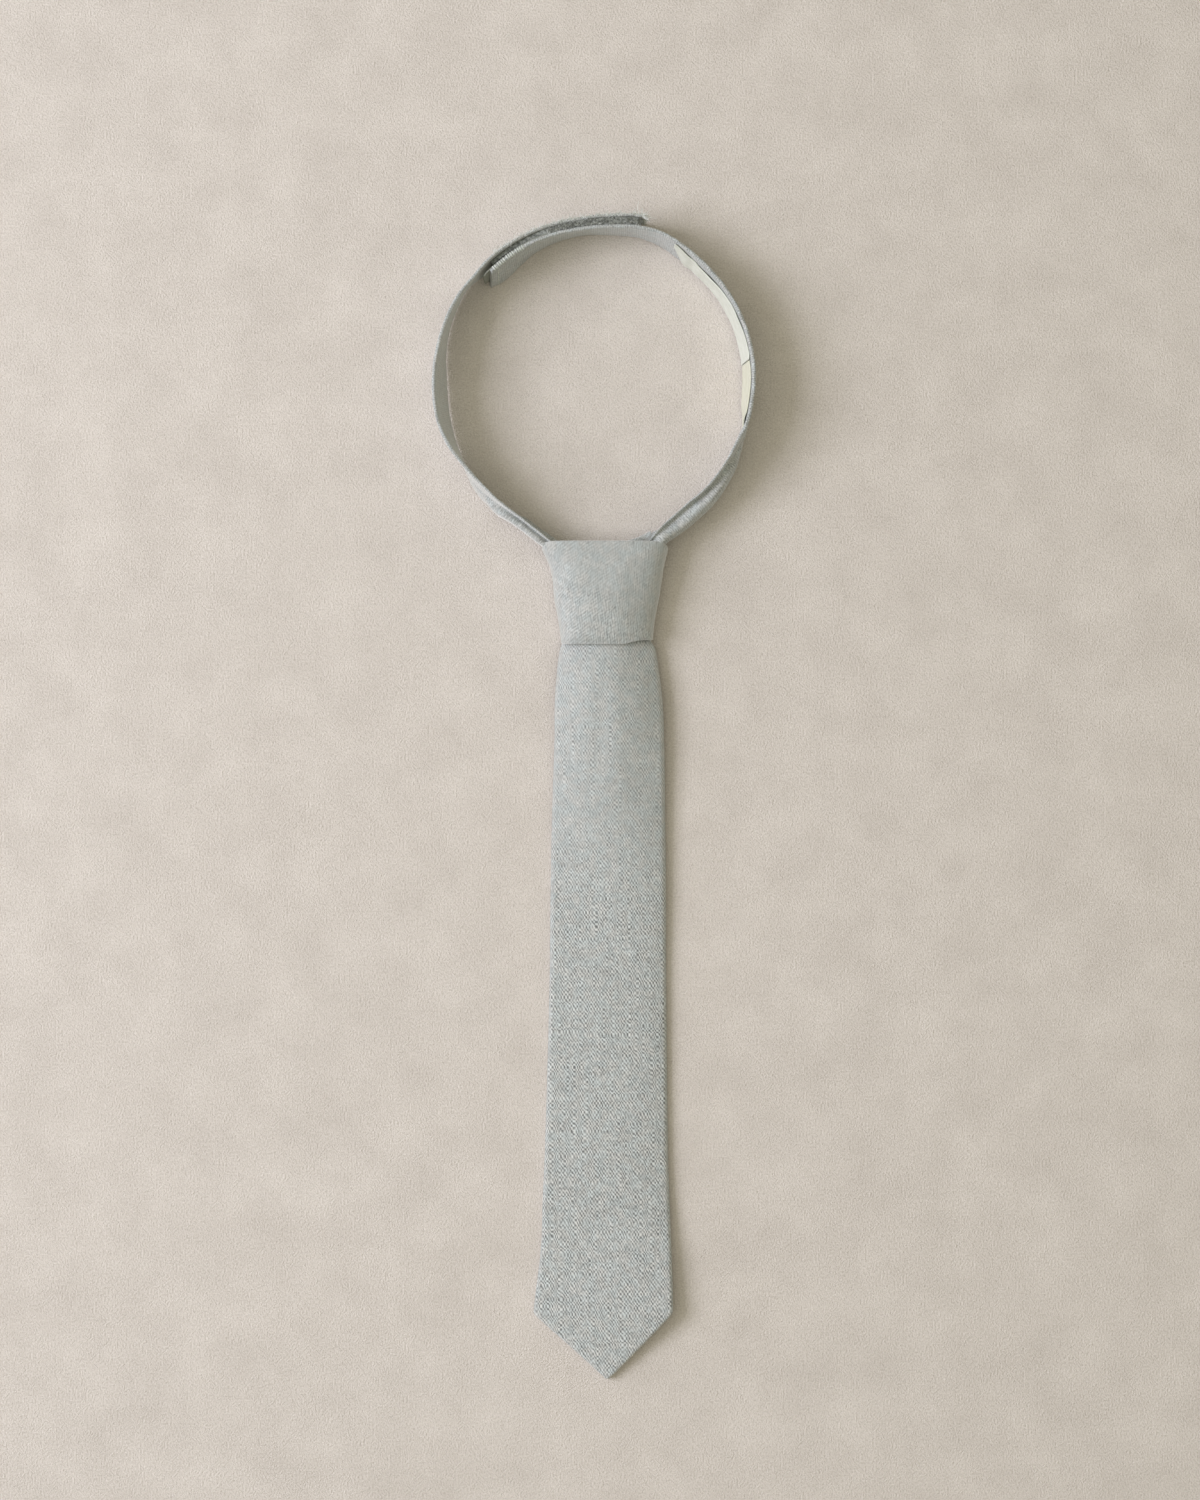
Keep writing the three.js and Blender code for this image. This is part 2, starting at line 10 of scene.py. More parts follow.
import bpy
import numpy as np
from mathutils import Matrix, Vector


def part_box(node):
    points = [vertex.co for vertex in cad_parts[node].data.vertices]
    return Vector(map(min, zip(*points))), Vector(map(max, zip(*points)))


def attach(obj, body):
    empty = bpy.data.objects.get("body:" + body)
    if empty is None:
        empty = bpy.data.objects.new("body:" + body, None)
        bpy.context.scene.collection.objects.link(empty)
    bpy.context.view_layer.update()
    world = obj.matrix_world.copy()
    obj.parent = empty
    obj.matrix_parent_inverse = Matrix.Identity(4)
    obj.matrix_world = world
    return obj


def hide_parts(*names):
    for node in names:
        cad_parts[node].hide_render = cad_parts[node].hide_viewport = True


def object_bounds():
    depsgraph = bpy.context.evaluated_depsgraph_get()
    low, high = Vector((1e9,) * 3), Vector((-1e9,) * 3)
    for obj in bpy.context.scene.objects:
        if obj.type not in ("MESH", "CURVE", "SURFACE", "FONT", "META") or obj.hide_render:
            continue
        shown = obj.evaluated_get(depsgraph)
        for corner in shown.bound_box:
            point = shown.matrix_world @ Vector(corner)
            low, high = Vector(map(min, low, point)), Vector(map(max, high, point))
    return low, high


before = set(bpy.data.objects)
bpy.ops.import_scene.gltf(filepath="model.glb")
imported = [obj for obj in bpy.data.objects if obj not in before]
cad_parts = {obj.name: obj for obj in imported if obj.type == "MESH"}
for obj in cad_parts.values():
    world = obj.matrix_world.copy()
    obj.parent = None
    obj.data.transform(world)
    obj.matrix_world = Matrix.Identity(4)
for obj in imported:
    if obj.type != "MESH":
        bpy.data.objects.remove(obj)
cad_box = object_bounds()
scene = bpy.context.scene

MM = 0.001
PITCH_U = 0.443  # from thread to thread across the linen
PITCH_V = 0.655  # and along it
RIB = 0.6  # from rib to rib where the threads across the cloth stand out
RIB_WANDER = 9.0  # how far a rib strays to the sides, in radians of its wave
CROSSING = 0.3  # how much the crossings differ from each other
FUZZ = 0.6  # how uneven the cloth's own fluff makes it
PATCHES = 0.14  # how much one patch of cloth differs from the next
SLUBS = 0.2  # how much one thread differs from the next
WANDER = 1.5  # how far a thread strays to the sides
FLOOR_GAP = 0.02  # how far above the floor's plane the lowest points stay


def table(names, *rows):
    """A short table as one array for each named column. The first column is the key."""
    return dict(zip(names.split(), np.array(rows, float).T))


def key_of(rows):
    """The first column of a table, which the others are read against."""
    return next(iter(rows.values()))


def even_steps(rows, count):
    """Evenly spaced keys from a table's first to its last."""
    keys = key_of(rows)
    return np.linspace(keys[0], keys[-1], count)


def at(rows, name, places):
    """One column of a table at some places, on a smooth curve through its rows."""
    keys, values = key_of(rows), rows[name]
    places = np.asarray(places, float)
    last = len(keys) - 1
    low = np.maximum(np.arange(last + 1) - 1, 0)
    high = np.minimum(np.arange(last + 1) + 1, last)
    slopes = (values[high] - values[low]) / (keys[high] - keys[low])
    upto = np.clip(np.searchsorted(keys, places), 1, last)
    span = keys[upto] - keys[upto - 1]
    share = (places - keys[upto - 1]) / span
    t = np.clip(share, 0, 1)
    curve = (2 * t**3 - 3 * t**2 + 1) * values[upto - 1]
    curve += (t**3 - 2 * t**2 + t) * span * slopes[upto - 1]
    curve += (3 * t**2 - 2 * t**3) * values[upto]
    curve += (t**3 - t**2) * span * slopes[upto]
    beyond = (share - t) * span
    return curve + beyond * np.where(beyond > 0, slopes[upto], slopes[upto - 1])


def all_at(rows, places):
    """Every column but the first at some places, in the table's order."""
    return [at(rows, name, places) for name in list(rows)[1:]]


def smooth(low, high, x):
    """A soft step, 0 up to low and 1 from high on."""
    t = np.clip((x - low) / (high - low), 0, 1)
    return t * t * (3 - 2 * t)


def noise(seed, *axes):
    """Soft random values from -1 to 1, one lump for each whole number along every axis."""
    axes = np.broadcast_arrays(*[np.asarray(a, float) for a in axes])
    cells = [np.floor(a).astype(np.int64) for a in axes]
    shares = [a - c for a, c in zip(axes, cells)]
    shares = [t * t * (3 - 2 * t) for t in shares]
    total = np.zeros(axes[0].shape)
    for corner in range(2 ** len(axes)):
        weight = np.ones(axes[0].shape)
        mixed = np.full(axes[0].shape, seed * 7919 + 13, np.int64)
        for i, (cell, share) in enumerate(zip(cells, shares)):
            step = (corner >> i) & 1
            weight = weight * (share if step else 1 - share)
            mixed = (mixed * 31 + (cell + step) * (374761393 + 668265263 * i)) & 0xFFFFFFF
            mixed = ((mixed ^ (mixed >> 13)) * 1274126177) & 0xFFFFFFF
        total += weight * ((mixed ^ (mixed >> 11)) % 10007 / 5003.5 - 1)
    return total


def running(steps, axis=0):
    """Running totals of some steps along one axis, from 0 on."""
    return np.insert(np.cumsum(steps, axis), 0, 0, axis)


def bent_line(turn, s):
    """How far a line goes sideways and straight on, from its direction at some distances along it."""
    run = np.radians((turn[1:] + turn[:-1]) / 2)
    ds = np.diff(s)
    return running(np.sin(run) * ds), running(np.cos(run) * ds)


# Where the frame's origin lies in the coordinates that the pieces are made in
blade_tip = -205.0
knot_left = -19.2
frame_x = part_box("knot_front_band")[0].x / MM - knot_left
frame_y = cad_box[0].y / MM - blade_tip
shift = np.array([frame_x, frame_y, 0.0])


def add_object(name, data):
    obj = bpy.data.objects.new(name, data)
    scene.collection.objects.link(obj)
    return obj


def make_object(name, points, faces, uvs, material):
    """A mesh object from points in millimetres. uvs has one pair for each point, in millimetres."""
    mesh = bpy.data.meshes.new(name)
    mesh.from_pydata(((points + shift) * MM).tolist(), [], faces)
    layer = mesh.uv_layers.new(name="cloth")
    corners = np.array([loop.vertex_index for loop in mesh.loops])
    layer.uv.foreach_set("vector", np.asarray(uvs, np.float32)[corners].ravel())
    mesh.polygons.foreach_set("use_smooth", np.ones(len(mesh.polygons), bool))
    mesh.materials.append(material)
    mesh.update()
    return add_object(name, mesh)


def grid_faces(rows, cols, wrap_rows=False, wrap_cols=False, start=0):
    """Quads of a grid of points that may close on itself either way."""
    r = np.arange(rows if wrap_rows else rows - 1)
    c = np.arange(cols if wrap_cols else cols - 1)
    a, b = np.meshgrid(r, c, indexing="ij")
    next_a, next_b = (a + 1) % rows, (b + 1) % cols
    quads = np.stack([a * cols + b, a * cols + next_b, next_a * cols + next_b, next_a * cols + b], -1)
    return (quads.reshape(-1, 4) + start).tolist()


def facing_out(points, faces):
    """The faces, turned over if they enclose less than nothing."""
    quads = np.array([f for f in faces if len(f) == 4])
    p = points[quads]
    volume = np.einsum("ij,ij->", p[:, 0], np.cross(p[:, 1], p[:, 2]) + np.cross(p[:, 2], p[:, 3]))
    return faces if volume > 0 else [f[::-1] for f in faces]


def normals_of(points):
    """Normals of a grid of points with shape (rows, around, 3) that closes on itself along around."""
    along = np.gradient(points, axis=0)
    around = (np.roll(points, -1, 1) - np.roll(points, 1, 1)) / 2
    cross = np.cross(along, around)
    return cross / np.maximum(np.linalg.norm(cross, axis=-1, keepdims=True), 1e-9)


def tube_piece(name, points, uvs, material, relief=None):
    """A closed body from a grid of points (sections, around, 3), with its two ends filled in.
    relief is how far the surface stands out at each point of the grid."""
    sections, around = points.shape[:2]
    if relief is not None:
        normals = normals_of(points)
        middle = points.mean(1, keepdims=True)
        outwards = np.sign(np.mean(np.sum(normals * (points - middle), -1)))
        points = points + normals * outwards * relief[..., None]
    faces = grid_faces(sections, around, wrap_cols=True)
    half = around // 2
    for section, flip in ((0, True), (sections - 1, False)):
        base = section * around
        for i in range(half - 1):
            quad = [base + i, base + i + 1, base + around - 2 - i, base + around - 1 - i]
            faces.append(quad[::-1] if flip else quad)
    flat = points.reshape(-1, 3)
    return make_object(name, flat, facing_out(flat, faces), uvs.reshape(-1, 2), material)


def rounded_samples(width, thickness, count):
    """Places across a cloth from edge to edge, closer together at the edges, and the half thickness
    of the cloth at each, which is rounded off at both edges."""
    turn = np.linspace(0, math.pi / 2, 7)
    edge = thickness / 2 * (1 - np.cos(turn))
    inner = np.linspace(thickness / 2, width - thickness / 2, count)[1:-1]
    places = np.concatenate([edge, inner, width - edge[::-1]])
    from_edge = np.minimum(places, width - places)
    t = np.clip(from_edge / (thickness / 2), 0, 1)
    return places, thickness / 2 * np.sqrt(np.maximum(1 - (1 - t) ** 2, 0)) + 0.004


def ring_of(middle, half):
    """Both faces of a cloth as one ring, from the middle line of its section."""
    run = np.gradient(middle, axis=1)
    run /= np.linalg.norm(run, axis=2, keepdims=True)
    side = np.stack([-run[..., 1], run[..., 0]], -1) * half[..., None]
    return np.concatenate([middle + side, (middle - side)[:, ::-1]], 1)


# Materials


class Nodes:
    """Builds a material's nodes with few words."""

    def __init__(self, name):
        self.material = bpy.data.materials.new(name)
        self.material.use_nodes = True
        self.tree = self.material.node_tree
        self.shader = self.tree.nodes["Principled BSDF"]

    def put(self, socket, value):
        if isinstance(value, bpy.types.NodeSocket):
            self.tree.links.new(value, socket)
        else:
            socket.default_value = value

    def node(self, kind, output=0, settings=None, **inputs):
        made = self.tree.nodes.new(kind)
        for key, value in (settings or {}).items():
            setattr(made, key, value)
        for key, value in inputs.items():
            self.put(made.inputs[key.replace("_", " ")], value)
        return made.outputs[output]

    def math(self, operation, *values):
        made = self.tree.nodes.new("ShaderNodeMath")
        made.operation = operation
        for socket, value in zip(made.inputs, values):
            self.put(socket, value)
        return made.outputs[0]

    def times(self, a, b, plus=None):
        """a times b, with something added to it if plus is given."""
        return self.math("MULTIPLY", a, b) if plus is None else self.math("MULTIPLY_ADD", a, b, plus)

    def span(self, value, low, high, to_low=0.0, to_high=1.0):
        made = self.tree.nodes.new("ShaderNodeMapRange")
        made.interpolation_type = "SMOOTHSTEP"
        for socket, item in zip(made.inputs, (value, low, high, to_low, to_high)):
            self.put(socket, item)
        return made.outputs[0]

    def vector(self, x, y, z=0.0):
        return self.node("ShaderNodeCombineXYZ", X=x, Y=y, Z=z)

    def place(self):
        """Places in the object, in metres."""
        return self.node("ShaderNodeTexCoord", 3)

    def cloth(self):
        """Places on the cloth in millimetres, whole and as u and v."""
        whole = self.node("ShaderNodeUVMap", settings={"uv_map": "cloth"})
        split = self.tree.nodes.new("ShaderNodeSeparateXYZ")
        self.put(split.inputs[0], whole)
        return whole, split.outputs[0], split.outputs[1]

    def stretched(self, u, v, by_u, by_v, z=0.0):
        """Places on the cloth with u and v multiplied, each by a number of its own."""
        return self.vector(self.times(u, by_u), self.times(v, by_v), z)

    def noise(self, vector, scale, detail=2.0, roughness=0.5):
        return self.node(
            "ShaderNodeTexNoise", Vector=vector, Scale=scale, Detail=detail, Roughness=roughness
        )

    def mix(self, share, a, b):
        made = self.tree.nodes.new("ShaderNodeMix")
        made.data_type = "RGBA"
        self.put(made.inputs[0], share)
        self.put(made.inputs[6], a)
        self.put(made.inputs[7], b)
        return made.outputs[2]

    def surface(self, colour, **values):
        """Gives the shader its colour, and its other inputs by name, with _ for a space."""
        self.put(self.shader.inputs["Base Color"], colour)
        for key, value in values.items():
            self.shader.inputs[key.replace("_", " ")].default_value = value

    def bump(self, height, depth, strength=1.0):
        """Relief that follows a height, where 1 stands for depth in millimetres."""
        made = self.tree.nodes.new("ShaderNodeBump")
        made.inputs["Strength"].default_value = strength
        made.inputs["Distance"].default_value = depth * MM
        self.put(made.inputs["Height"], height)
        self.put(self.shader.inputs["Normal"], made.outputs[0])


def linear(*rgb):
    """A colour as given by its sRGB values from 0 to 255, ready for a shader."""
    values = np.array(rgb, float) / 255
    made = np.where(values <= 0.04045, values / 12.92, ((values + 0.055) / 1.055) ** 2.4)
    return (*made.tolist(), 1.0)


FLOOR_PALE = linear(243, 236, 230)
FLOOR_DARK = linear(202, 194, 187)
LINEN_PALE_COOL = linear(218, 225, 226)
LINEN_PALE_WARM = linear(224, 225, 223)
# The dark end of the linen's colour, reached by the painted shade between crossings and by the darkest
# threads
LINEN_DARK = linear(100, 103, 103)


def linen_material(
    name, waves, ribs=0.0, depth=0.1, rough=1.0, swap=None, calm=None, rib_way=(1.0, 0.0), sheen=0.9
):
    """Plain-weave linen. Its crossings show as two sets of slanting lines, and waves says how strongly
    each set does. ribs is how strongly threads across the cloth do, depth how deep the weave is, and
    rough how uneven it all is. Where swap is given, the sets change places and the ribs begin between
    these two values of u, and where calm is, the cloth is smoother beyond these values of v. rib_way
    is how fast the ribs pass along u and v, and sheen how much the cloth's fluff shines."""
    n = Nodes(name)
    cloth, u, v = n.cloth()
    wander_u = n.noise(n.stretched(u, v, 0.05, 0.9), 0.7)
    wander_v = n.noise(n.stretched(u, v, 0.9, 0.05, 7.0), 0.7)
    u_threads = n.math("DIVIDE", n.times(wander_v, WANDER * rough, u), PITCH_U)
    v_threads = n.math("DIVIDE", n.times(wander_u, WANDER * rough, v), PITCH_V)
    turn_sum = n.times(n.math("ADD", u_threads, v_threads), math.pi)
    turn_difference = n.times(n.math("SUBTRACT", u_threads, v_threads), math.pi)
    first, second = n.math("COSINE", turn_sum), n.math("COSINE", turn_difference)
    # The crossings stand out more in some places than in others
    places = n.noise(n.stretched(u, v, 0.6, 0.3, 11.0), 1.0)
    clear = n.span(places, 0.3, 0.7, 0.5, 1.5)
    loose = rough
    if calm is not None:
        clear = n.times(clear, n.span(v, *calm, 1.0, 0.55))
        loose = n.span(v, *calm, rough, rough / 2)
    if swap is not None:
        waves = (n.span(u, *swap, waves[1], waves[0]), n.span(u, *swap, waves[0], waves[1]))
        ribs = n.span(u, *swap, 0.0, ribs)
    weave = n.times(n.times(second, waves[1], n.times(first, waves[0])), clear)
    rib_turn = n.times(u, rib_way[0] * math.tau / RIB)
    rib_turn = n.times(v, rib_way[1] * math.tau / RIB, rib_turn)
    rib = n.math("SINE", n.times(wander_v, RIB_WANDER, rib_turn))
    weave = n.times(rib, n.times(clear, ribs), weave)
    u_cell, v_cell = n.math("FLOOR", u_threads), n.math("FLOOR", v_threads)
    u_slub = n.noise(n.stretched(u_cell, v, 3.37, 0.25), 1.0, 1.0)
    v_slub = n.noise(n.stretched(u, v_cell, 0.25, 3.37, 3.0), 1.0, 1.0)
    threads = n.math("SUBTRACT", n.math("ADD", u_slub, v_slub), 1.0)
    fluff = n.math("SUBTRACT", n.noise(cloth, 2.2, 3.0, 0.7), 0.5)
    patches = n.math("SUBTRACT", n.noise(cloth, 0.16, 3.0, 0.6), 0.5)
    each = n.math("SUBTRACT", n.node("ShaderNodeTexWhiteNoise", Vector=n.vector(u_cell, v_cell)), 0.5)
    uneven = n.times(fluff, FUZZ, n.times(each, CROSSING))
    # The colour follows the weave's height as well as the cloth's own tone: painted shade where the
    # crossings sink, over random fluff, patches and slubs
    weave_shade_and_tone = n.times(uneven, loose, weave)
    weave_shade_and_tone = n.times(patches, PATCHES, weave_shade_and_tone)
    weave_shade_and_tone = n.times(threads, SLUBS, weave_shade_and_tone)
    tint = n.span(n.noise(cloth, 0.33, 2.0, 0.5), 0.35, 0.65)
    pale = n.mix(tint, LINEN_PALE_COOL, LINEN_PALE_WARM)
    colour = n.mix(n.span(weave_shade_and_tone, -0.7, 0.7), LINEN_DARK, pale)
    n.surface(colour, Roughness=0.9, Specular_IOR_Level=0.2, Sheen_Weight=sheen, Sheen_Roughness=0.5)
    n.bump(weave, depth)
    return n.material


def ribbon_material(name, pale, dark, pitch=0.3):
    """A smooth woven ribbon, such as a label is cut from."""
    n = Nodes(name)
    cloth, u, v = n.cloth()
    fine_u = n.math("ABSOLUTE", n.math("SINE", n.times(u, math.pi / pitch)))
    fine_v = n.math("ABSOLUTE", n.math("SINE", n.times(v, math.pi / pitch)))
    ribs = n.times(fine_u, fine_v)
    patches = n.noise(cloth, 0.3, 3.0, 0.6)
    share = n.span(n.times(ribs, 0.35, patches), 0.25, 1.0)
    n.surface(n.mix(share, linear(*dark), linear(*pale)), Roughness=0.62, Sheen_Weight=0.1)
    n.bump(ribs, 0.04, 0.6)
    return n.material


def tape_material(name, pale, dark):
    """A coarse tape, lumpy all over."""
    n = Nodes(name)
    lumps = n.noise(n.place(), 1500.0, 4.0, 0.75)
    colour = n.mix(n.span(lumps, 0.3, 0.7), linear(*dark), linear(*pale))
    n.surface(colour, Roughness=0.85)
    n.bump(lumps, 0.2)
    return n.material


def thread_material(name, pale, dark):
    """Thread whose colour varies along it."""
    n = Nodes(name)
    lumps = n.noise(n.place(), 1300.0)
    colour = n.mix(n.span(lumps, 0.3, 0.7), linear(*dark), linear(*pale))
    n.surface(colour, Roughness=0.7, Sheen_Weight=0.2)
    return n.material


def floor_material():
    """Matt paper with a fine grain and broad, faint mottling."""
    n = Nodes("floor_paper")
    where = n.place()
    fine = n.noise(where, 2000.0, 3.0, 0.6)
    broad = n.noise(where, 60.0, 3.0, 0.6)
    share = n.times(broad, 0.3, n.times(fine, 0.7))
    colour = n.mix(n.span(share, 0.2, 0.9), FLOOR_DARK, FLOOR_PALE)
    n.surface(colour, Roughness=0.9, Specular_IOR_Level=0.15)
    n.bump(fine, 0.5)
    return n.material


blade_linen = linen_material("linen_blade", (0.26, 0.15), depth=0.09, calm=(-80, -45))
knot_shares = {"swap": (-9, -1), "calm": (4, 14), "rib_way": (0.53, 0.2)}
knot_linen = linen_material("linen_knot", (0.09, 0.06), ribs=0.07, depth=0.08, rough=0.7, **knot_shares)
left_linen = linen_material("linen_strap_left", (0.05, 0.05), ribs=0.08, depth=0.07, rough=0.7, sheen=0.75)
right_linen = linen_material("linen_strap_right", (0.06, 0.06), ribs=0.1, depth=0.07, rough=0.8, sheen=0.4)
label_ribbon = ribbon_material("label_ribbon", (232, 235, 227), (214, 218, 206))
size_ribbon = ribbon_material("size_label_ribbon", (229, 229, 213), (211, 211, 190))
pile_tape = tape_material("pile_tape", (165, 169, 165), (62, 65, 62))
hook_tape = tape_material("hook_tape_weave", (168, 171, 162), (128, 131, 122))
thread = thread_material("linen_thread", (232, 235, 230), (196, 202, 196))
fluff_thread = thread_material("fluff_thread", (250, 252, 250), (222, 226, 222))
pile_thread = thread_material("pile_thread", (226, 229, 224), (84, 87, 83))


# The blade

# along is y, and left and right are the edges' x. edge is the thickness at the edges and crown how much
# thicker the middle is, with its top off the middle by ridge. lift raises the whole section, tilt its
# right edge and arch its middle.
blade_rows = table(
    "along left right edge crown lift tilt arch ridge",
    (-205.6, -0.5, 0.7, 2, 0, 0.3, 0.4, 0, 0),
    (-204.4, -1.8, 2, 2.1, 0.1, 0.3, 0.5, 0, 0),
    (-196.5, -10.6, 9.6, 2.2, 0.4, 0.15, 2.2, 0, 0),
    (-188.6, -19.5, 16.9, 2.3, 0.6, 0, 4.1, 0, 0.1),
    (-187.6, -20.3, 17.8, 2.3, 0.7, 0, 4.2, 0, 0.1),
    (-186.2, -20.4, 18.4, 2.3, 0.7, 0, 4.1, 0, 0.1),
    (-169, -18.4, 18, 2.4, 0.9, 0, 2.3, 0, 0.2),
    (-155, -17.9, 17.5, 2.4, 1.2, 0, 0.8, 0, 0.25),
    (-142, -17.3, 17.1, 2.4, 1.4, 0, 0.4, 0, 0.3),
    (-95, -16, 16.6, 2.4, 1.6, 0, 0.4, 0, 0.3),
    (-69, -15.7, 16.5, 2.4, 1.6, 0, 1.1, 0.4, 0.2),
    (-48, -15.3, 16.3, 2.4, 1.5, 0.6, 1, 2, 0),
    (-27, -14.6, 16, 2.4, 1.2, 1.8, 0.6, 3.6, -0.05),
    (-16, -14.5, 15.5, 2.4, 1.1, 2.3, 0.2, 4.4, -0.05),
    (-7, -13.8, 14.4, 2.4, 1, 2.5, 0, 4.6, -0.1),
    (-1.5, -12.9, 13.4, 2.4, 1, 2.6, 0, 4.2, -0.12),
    (2, -11.4, 11.4, 2.6, 1, 2.7, 0, 5, -0.1),
    (6, -11.2, 11.2, 3, 1.2, 2.8, 0, 5.4, -0.1),
    (12, -11, 11, 3, 1, 3.1, 0, 4.4, 0),
    (19, -8.5, 8.5, 3, 0.6, 3.6, 0, 1.4, 0),
)
blade_shoulder = -186.2  # where the slanting edges of the point end
blade_across = 61  # points across each face, an odd number
blade_steps = (60, 330)  # sections in the point and in the rest
back_shift = 60  # how far the weave of the back lies from that of the front
seam_wander = 0.25  # how far the back seam strays to the sides
seam_height = 0.28
seam_spread = 0.35
seam_step = 0.105  # how far one folded edge lies above the other
# Hollows in the blade's face, or swellings where depth is below 0
blade_dents = table(
    "x y half_width half_length depth",
    (-2, -24, 3, 15, 0.3),
    (2.5, -22, 2.5, 17, -0.2),
    (10, -16, 4, 8, -0.3),
    (11, -36, 4, 12, 0.25),
    (-6, -70, 7, 20, 0.15),
    (5, -112, 8, 18, 0.15),
    (-4, -165, 8, 14, 0.15),
)


def dents_at(dents, x, y):
    """How far a face is raised by its dents at some places."""
    total = np.zeros(np.broadcast(x, y).shape)
    for dent_x, dent_y, half_width, half_length, depth in zip(*dents.values()):
        away = ((x - dent_x) / half_width) ** 2 + ((y - dent_y) / half_length) ** 2
        total -= depth * np.exp(-away)
    return total


def across_cloth(points, middle):
    """Distances over the cloth along every row of a grid of points, level with x in one column."""
    steps = np.linalg.norm(np.diff(points[..., ::2], axis=1), axis=-1)
    run = running(steps, 1)
    way = np.sign(points[:, -1:, 0] - points[:, :1, 0])
    return points[:, middle : middle + 1, 0] + way * (run - run[:, middle : middle + 1])


def make_blade():
    count = blade_across
    tip, hidden_end = key_of(blade_rows)[0], key_of(blade_rows)[-1]
    point_steps = np.linspace(tip, blade_shoulder, blade_steps[0])
    other_steps = np.linspace(blade_shoulder + 0.5, hidden_end, blade_steps[1])
    steps = np.concatenate([point_steps, other_steps])
    left, right, edge, crown, lift, tilt, arch, ridge = all_at(blade_rows, steps[:, None])
    across = np.concatenate([np.linspace(-1, 1, count), np.linspace(1, -1, count)])[None, :]
    top = np.concatenate([np.ones(count, bool), np.zeros(count, bool)])[None, :]
    # The edge is a half circle in the section, so points are packed closer there
    spread = np.sin(across * math.pi / 2) * 0.55 + across * 0.45
    half = (right - left) / 2
    centre = (right + left) / 2
    x = centre + half * spread
    from_edge = half * (1 - np.abs(spread))
    bend = np.minimum(edge / 2, half)
    t = np.clip(from_edge / bend, 0, 1)
    round_off = np.sqrt(np.maximum(1 - (1 - t) ** 2, 0))
    skewed = spread - ridge * (1 - spread**2)
    swell = 1 - skewed**2
    rise = np.maximum(lift, 0) + np.maximum(tilt, 0) * (1 + spread) / 2
    rise = rise + np.maximum(arch, 0) * swell
    y = np.broadcast_to(steps[:, None], x.shape)
    relief = dents_at(blade_dents, x, y) * swell
    relief += 0.05 * noise(3, x / 5, y / 9) * swell + 0.03 * noise(4, x / 2.2, y / 3.5) * swell
    up = edge / 2 * round_off + (crown * swell + relief) * round_off
    down = -edge / 2 * round_off
    # At the back the two folded edges meet on the centre seam, one just over the other
    seam_x = centre + seam_wander * noise(5, y / 12.0, 0.0)
    step = seam_step * smooth(0.0, 0.5, seam_x - x) * smooth(0, 3.5, half - np.abs(x - centre))
    down = down + seam_height * np.exp(-((x - seam_x) / seam_spread) ** 2) + step
    z = rise + edge / 2 + np.where(top, up, down)
    points = np.stack([x, y, np.maximum(z, FLOOR_GAP)], -1)
    over = across_cloth(points[:, :count], count // 2)
    under = across_cloth(points[:, count:], count // 2) + back_shift
    uvs = np.stack([np.concatenate([over, under], 1), y], -1)
    return tube_piece("blade", points, uvs, blade_linen)


blade = make_blade()

# The knot

# thick is how high the top is, left_up and right_up how high the widest places are, and ridge how far
# the top lies to the right. square is 2 for an oval section and more for a squarer one.
knot_rows = table(
    "along left right thick left_up right_up square ridge",
    (-0.3, -12.75, 12.7, 12.2, 4.6, 5.6, 2.1, -3.2),
    (1.2, -12.9, 12.85, 13.6, 4.6, 5.6, 2.1, -3.2),
    (6.4, -13.6, 13.4, 14.5, 4.8, 5.8, 2.1, -3),
    (12, -14.7, 14.5, 14.8, 5, 6, 2.2, -2.7),
    (17, -15.1, 15.3, 15, 5.2, 6.2, 2.5, -2.2),
    (21.5, -16.1, 16, 15.1, 5.6, 6.4, 2.9, -1.4),
    (26.7, -18.6, 17.4, 15.1, 6.2, 6.6, 3.4, -0.6),
    (27.7, -19.2, 17.9, 15.1, 6.2, 6.6, 3.4, -0.6),
)
knot_length = 27.2  # from the lower to the upper edge
knot_cloth = 1.2
knot_around = 240  # points around each section
knot_lengthways = 70  # sections from the lower to the upper edge
hem_steps = 9
back_starts = 48  # the angle in the section below which the edges are cut back
back_span = 108  # and over how many degrees they are, down to the middle of the back
back_low_cut = 5.0  # how much higher the lower edge lies at the back
back_high_cut = 11.0  # how much lower the upper edge lies at the back
edge_droop = 0.1  # how far the lower edge hangs down in the middle
edge_rise = 1.6  # and how far it rises on the right
back_square = 5.0  # how square the section is at the back
# The wrap's threads slant: the ones up the cloth lean right, the ones across it rise to the right
knot_u_way = (1.005, -0.369)  # how fast u passes along x and y
knot_v_way = (0.523, 0.802)
knot_dents = table(
    "x y half_width half_length depth",
    (-9.5, 19.5, 3.5, 4, -0.35),
    (-8, 14, 3, 6, 0.2),
    (3, 10, 4, 9, -0.2),
    (-3, 5, 5, 4, 0.15),
)


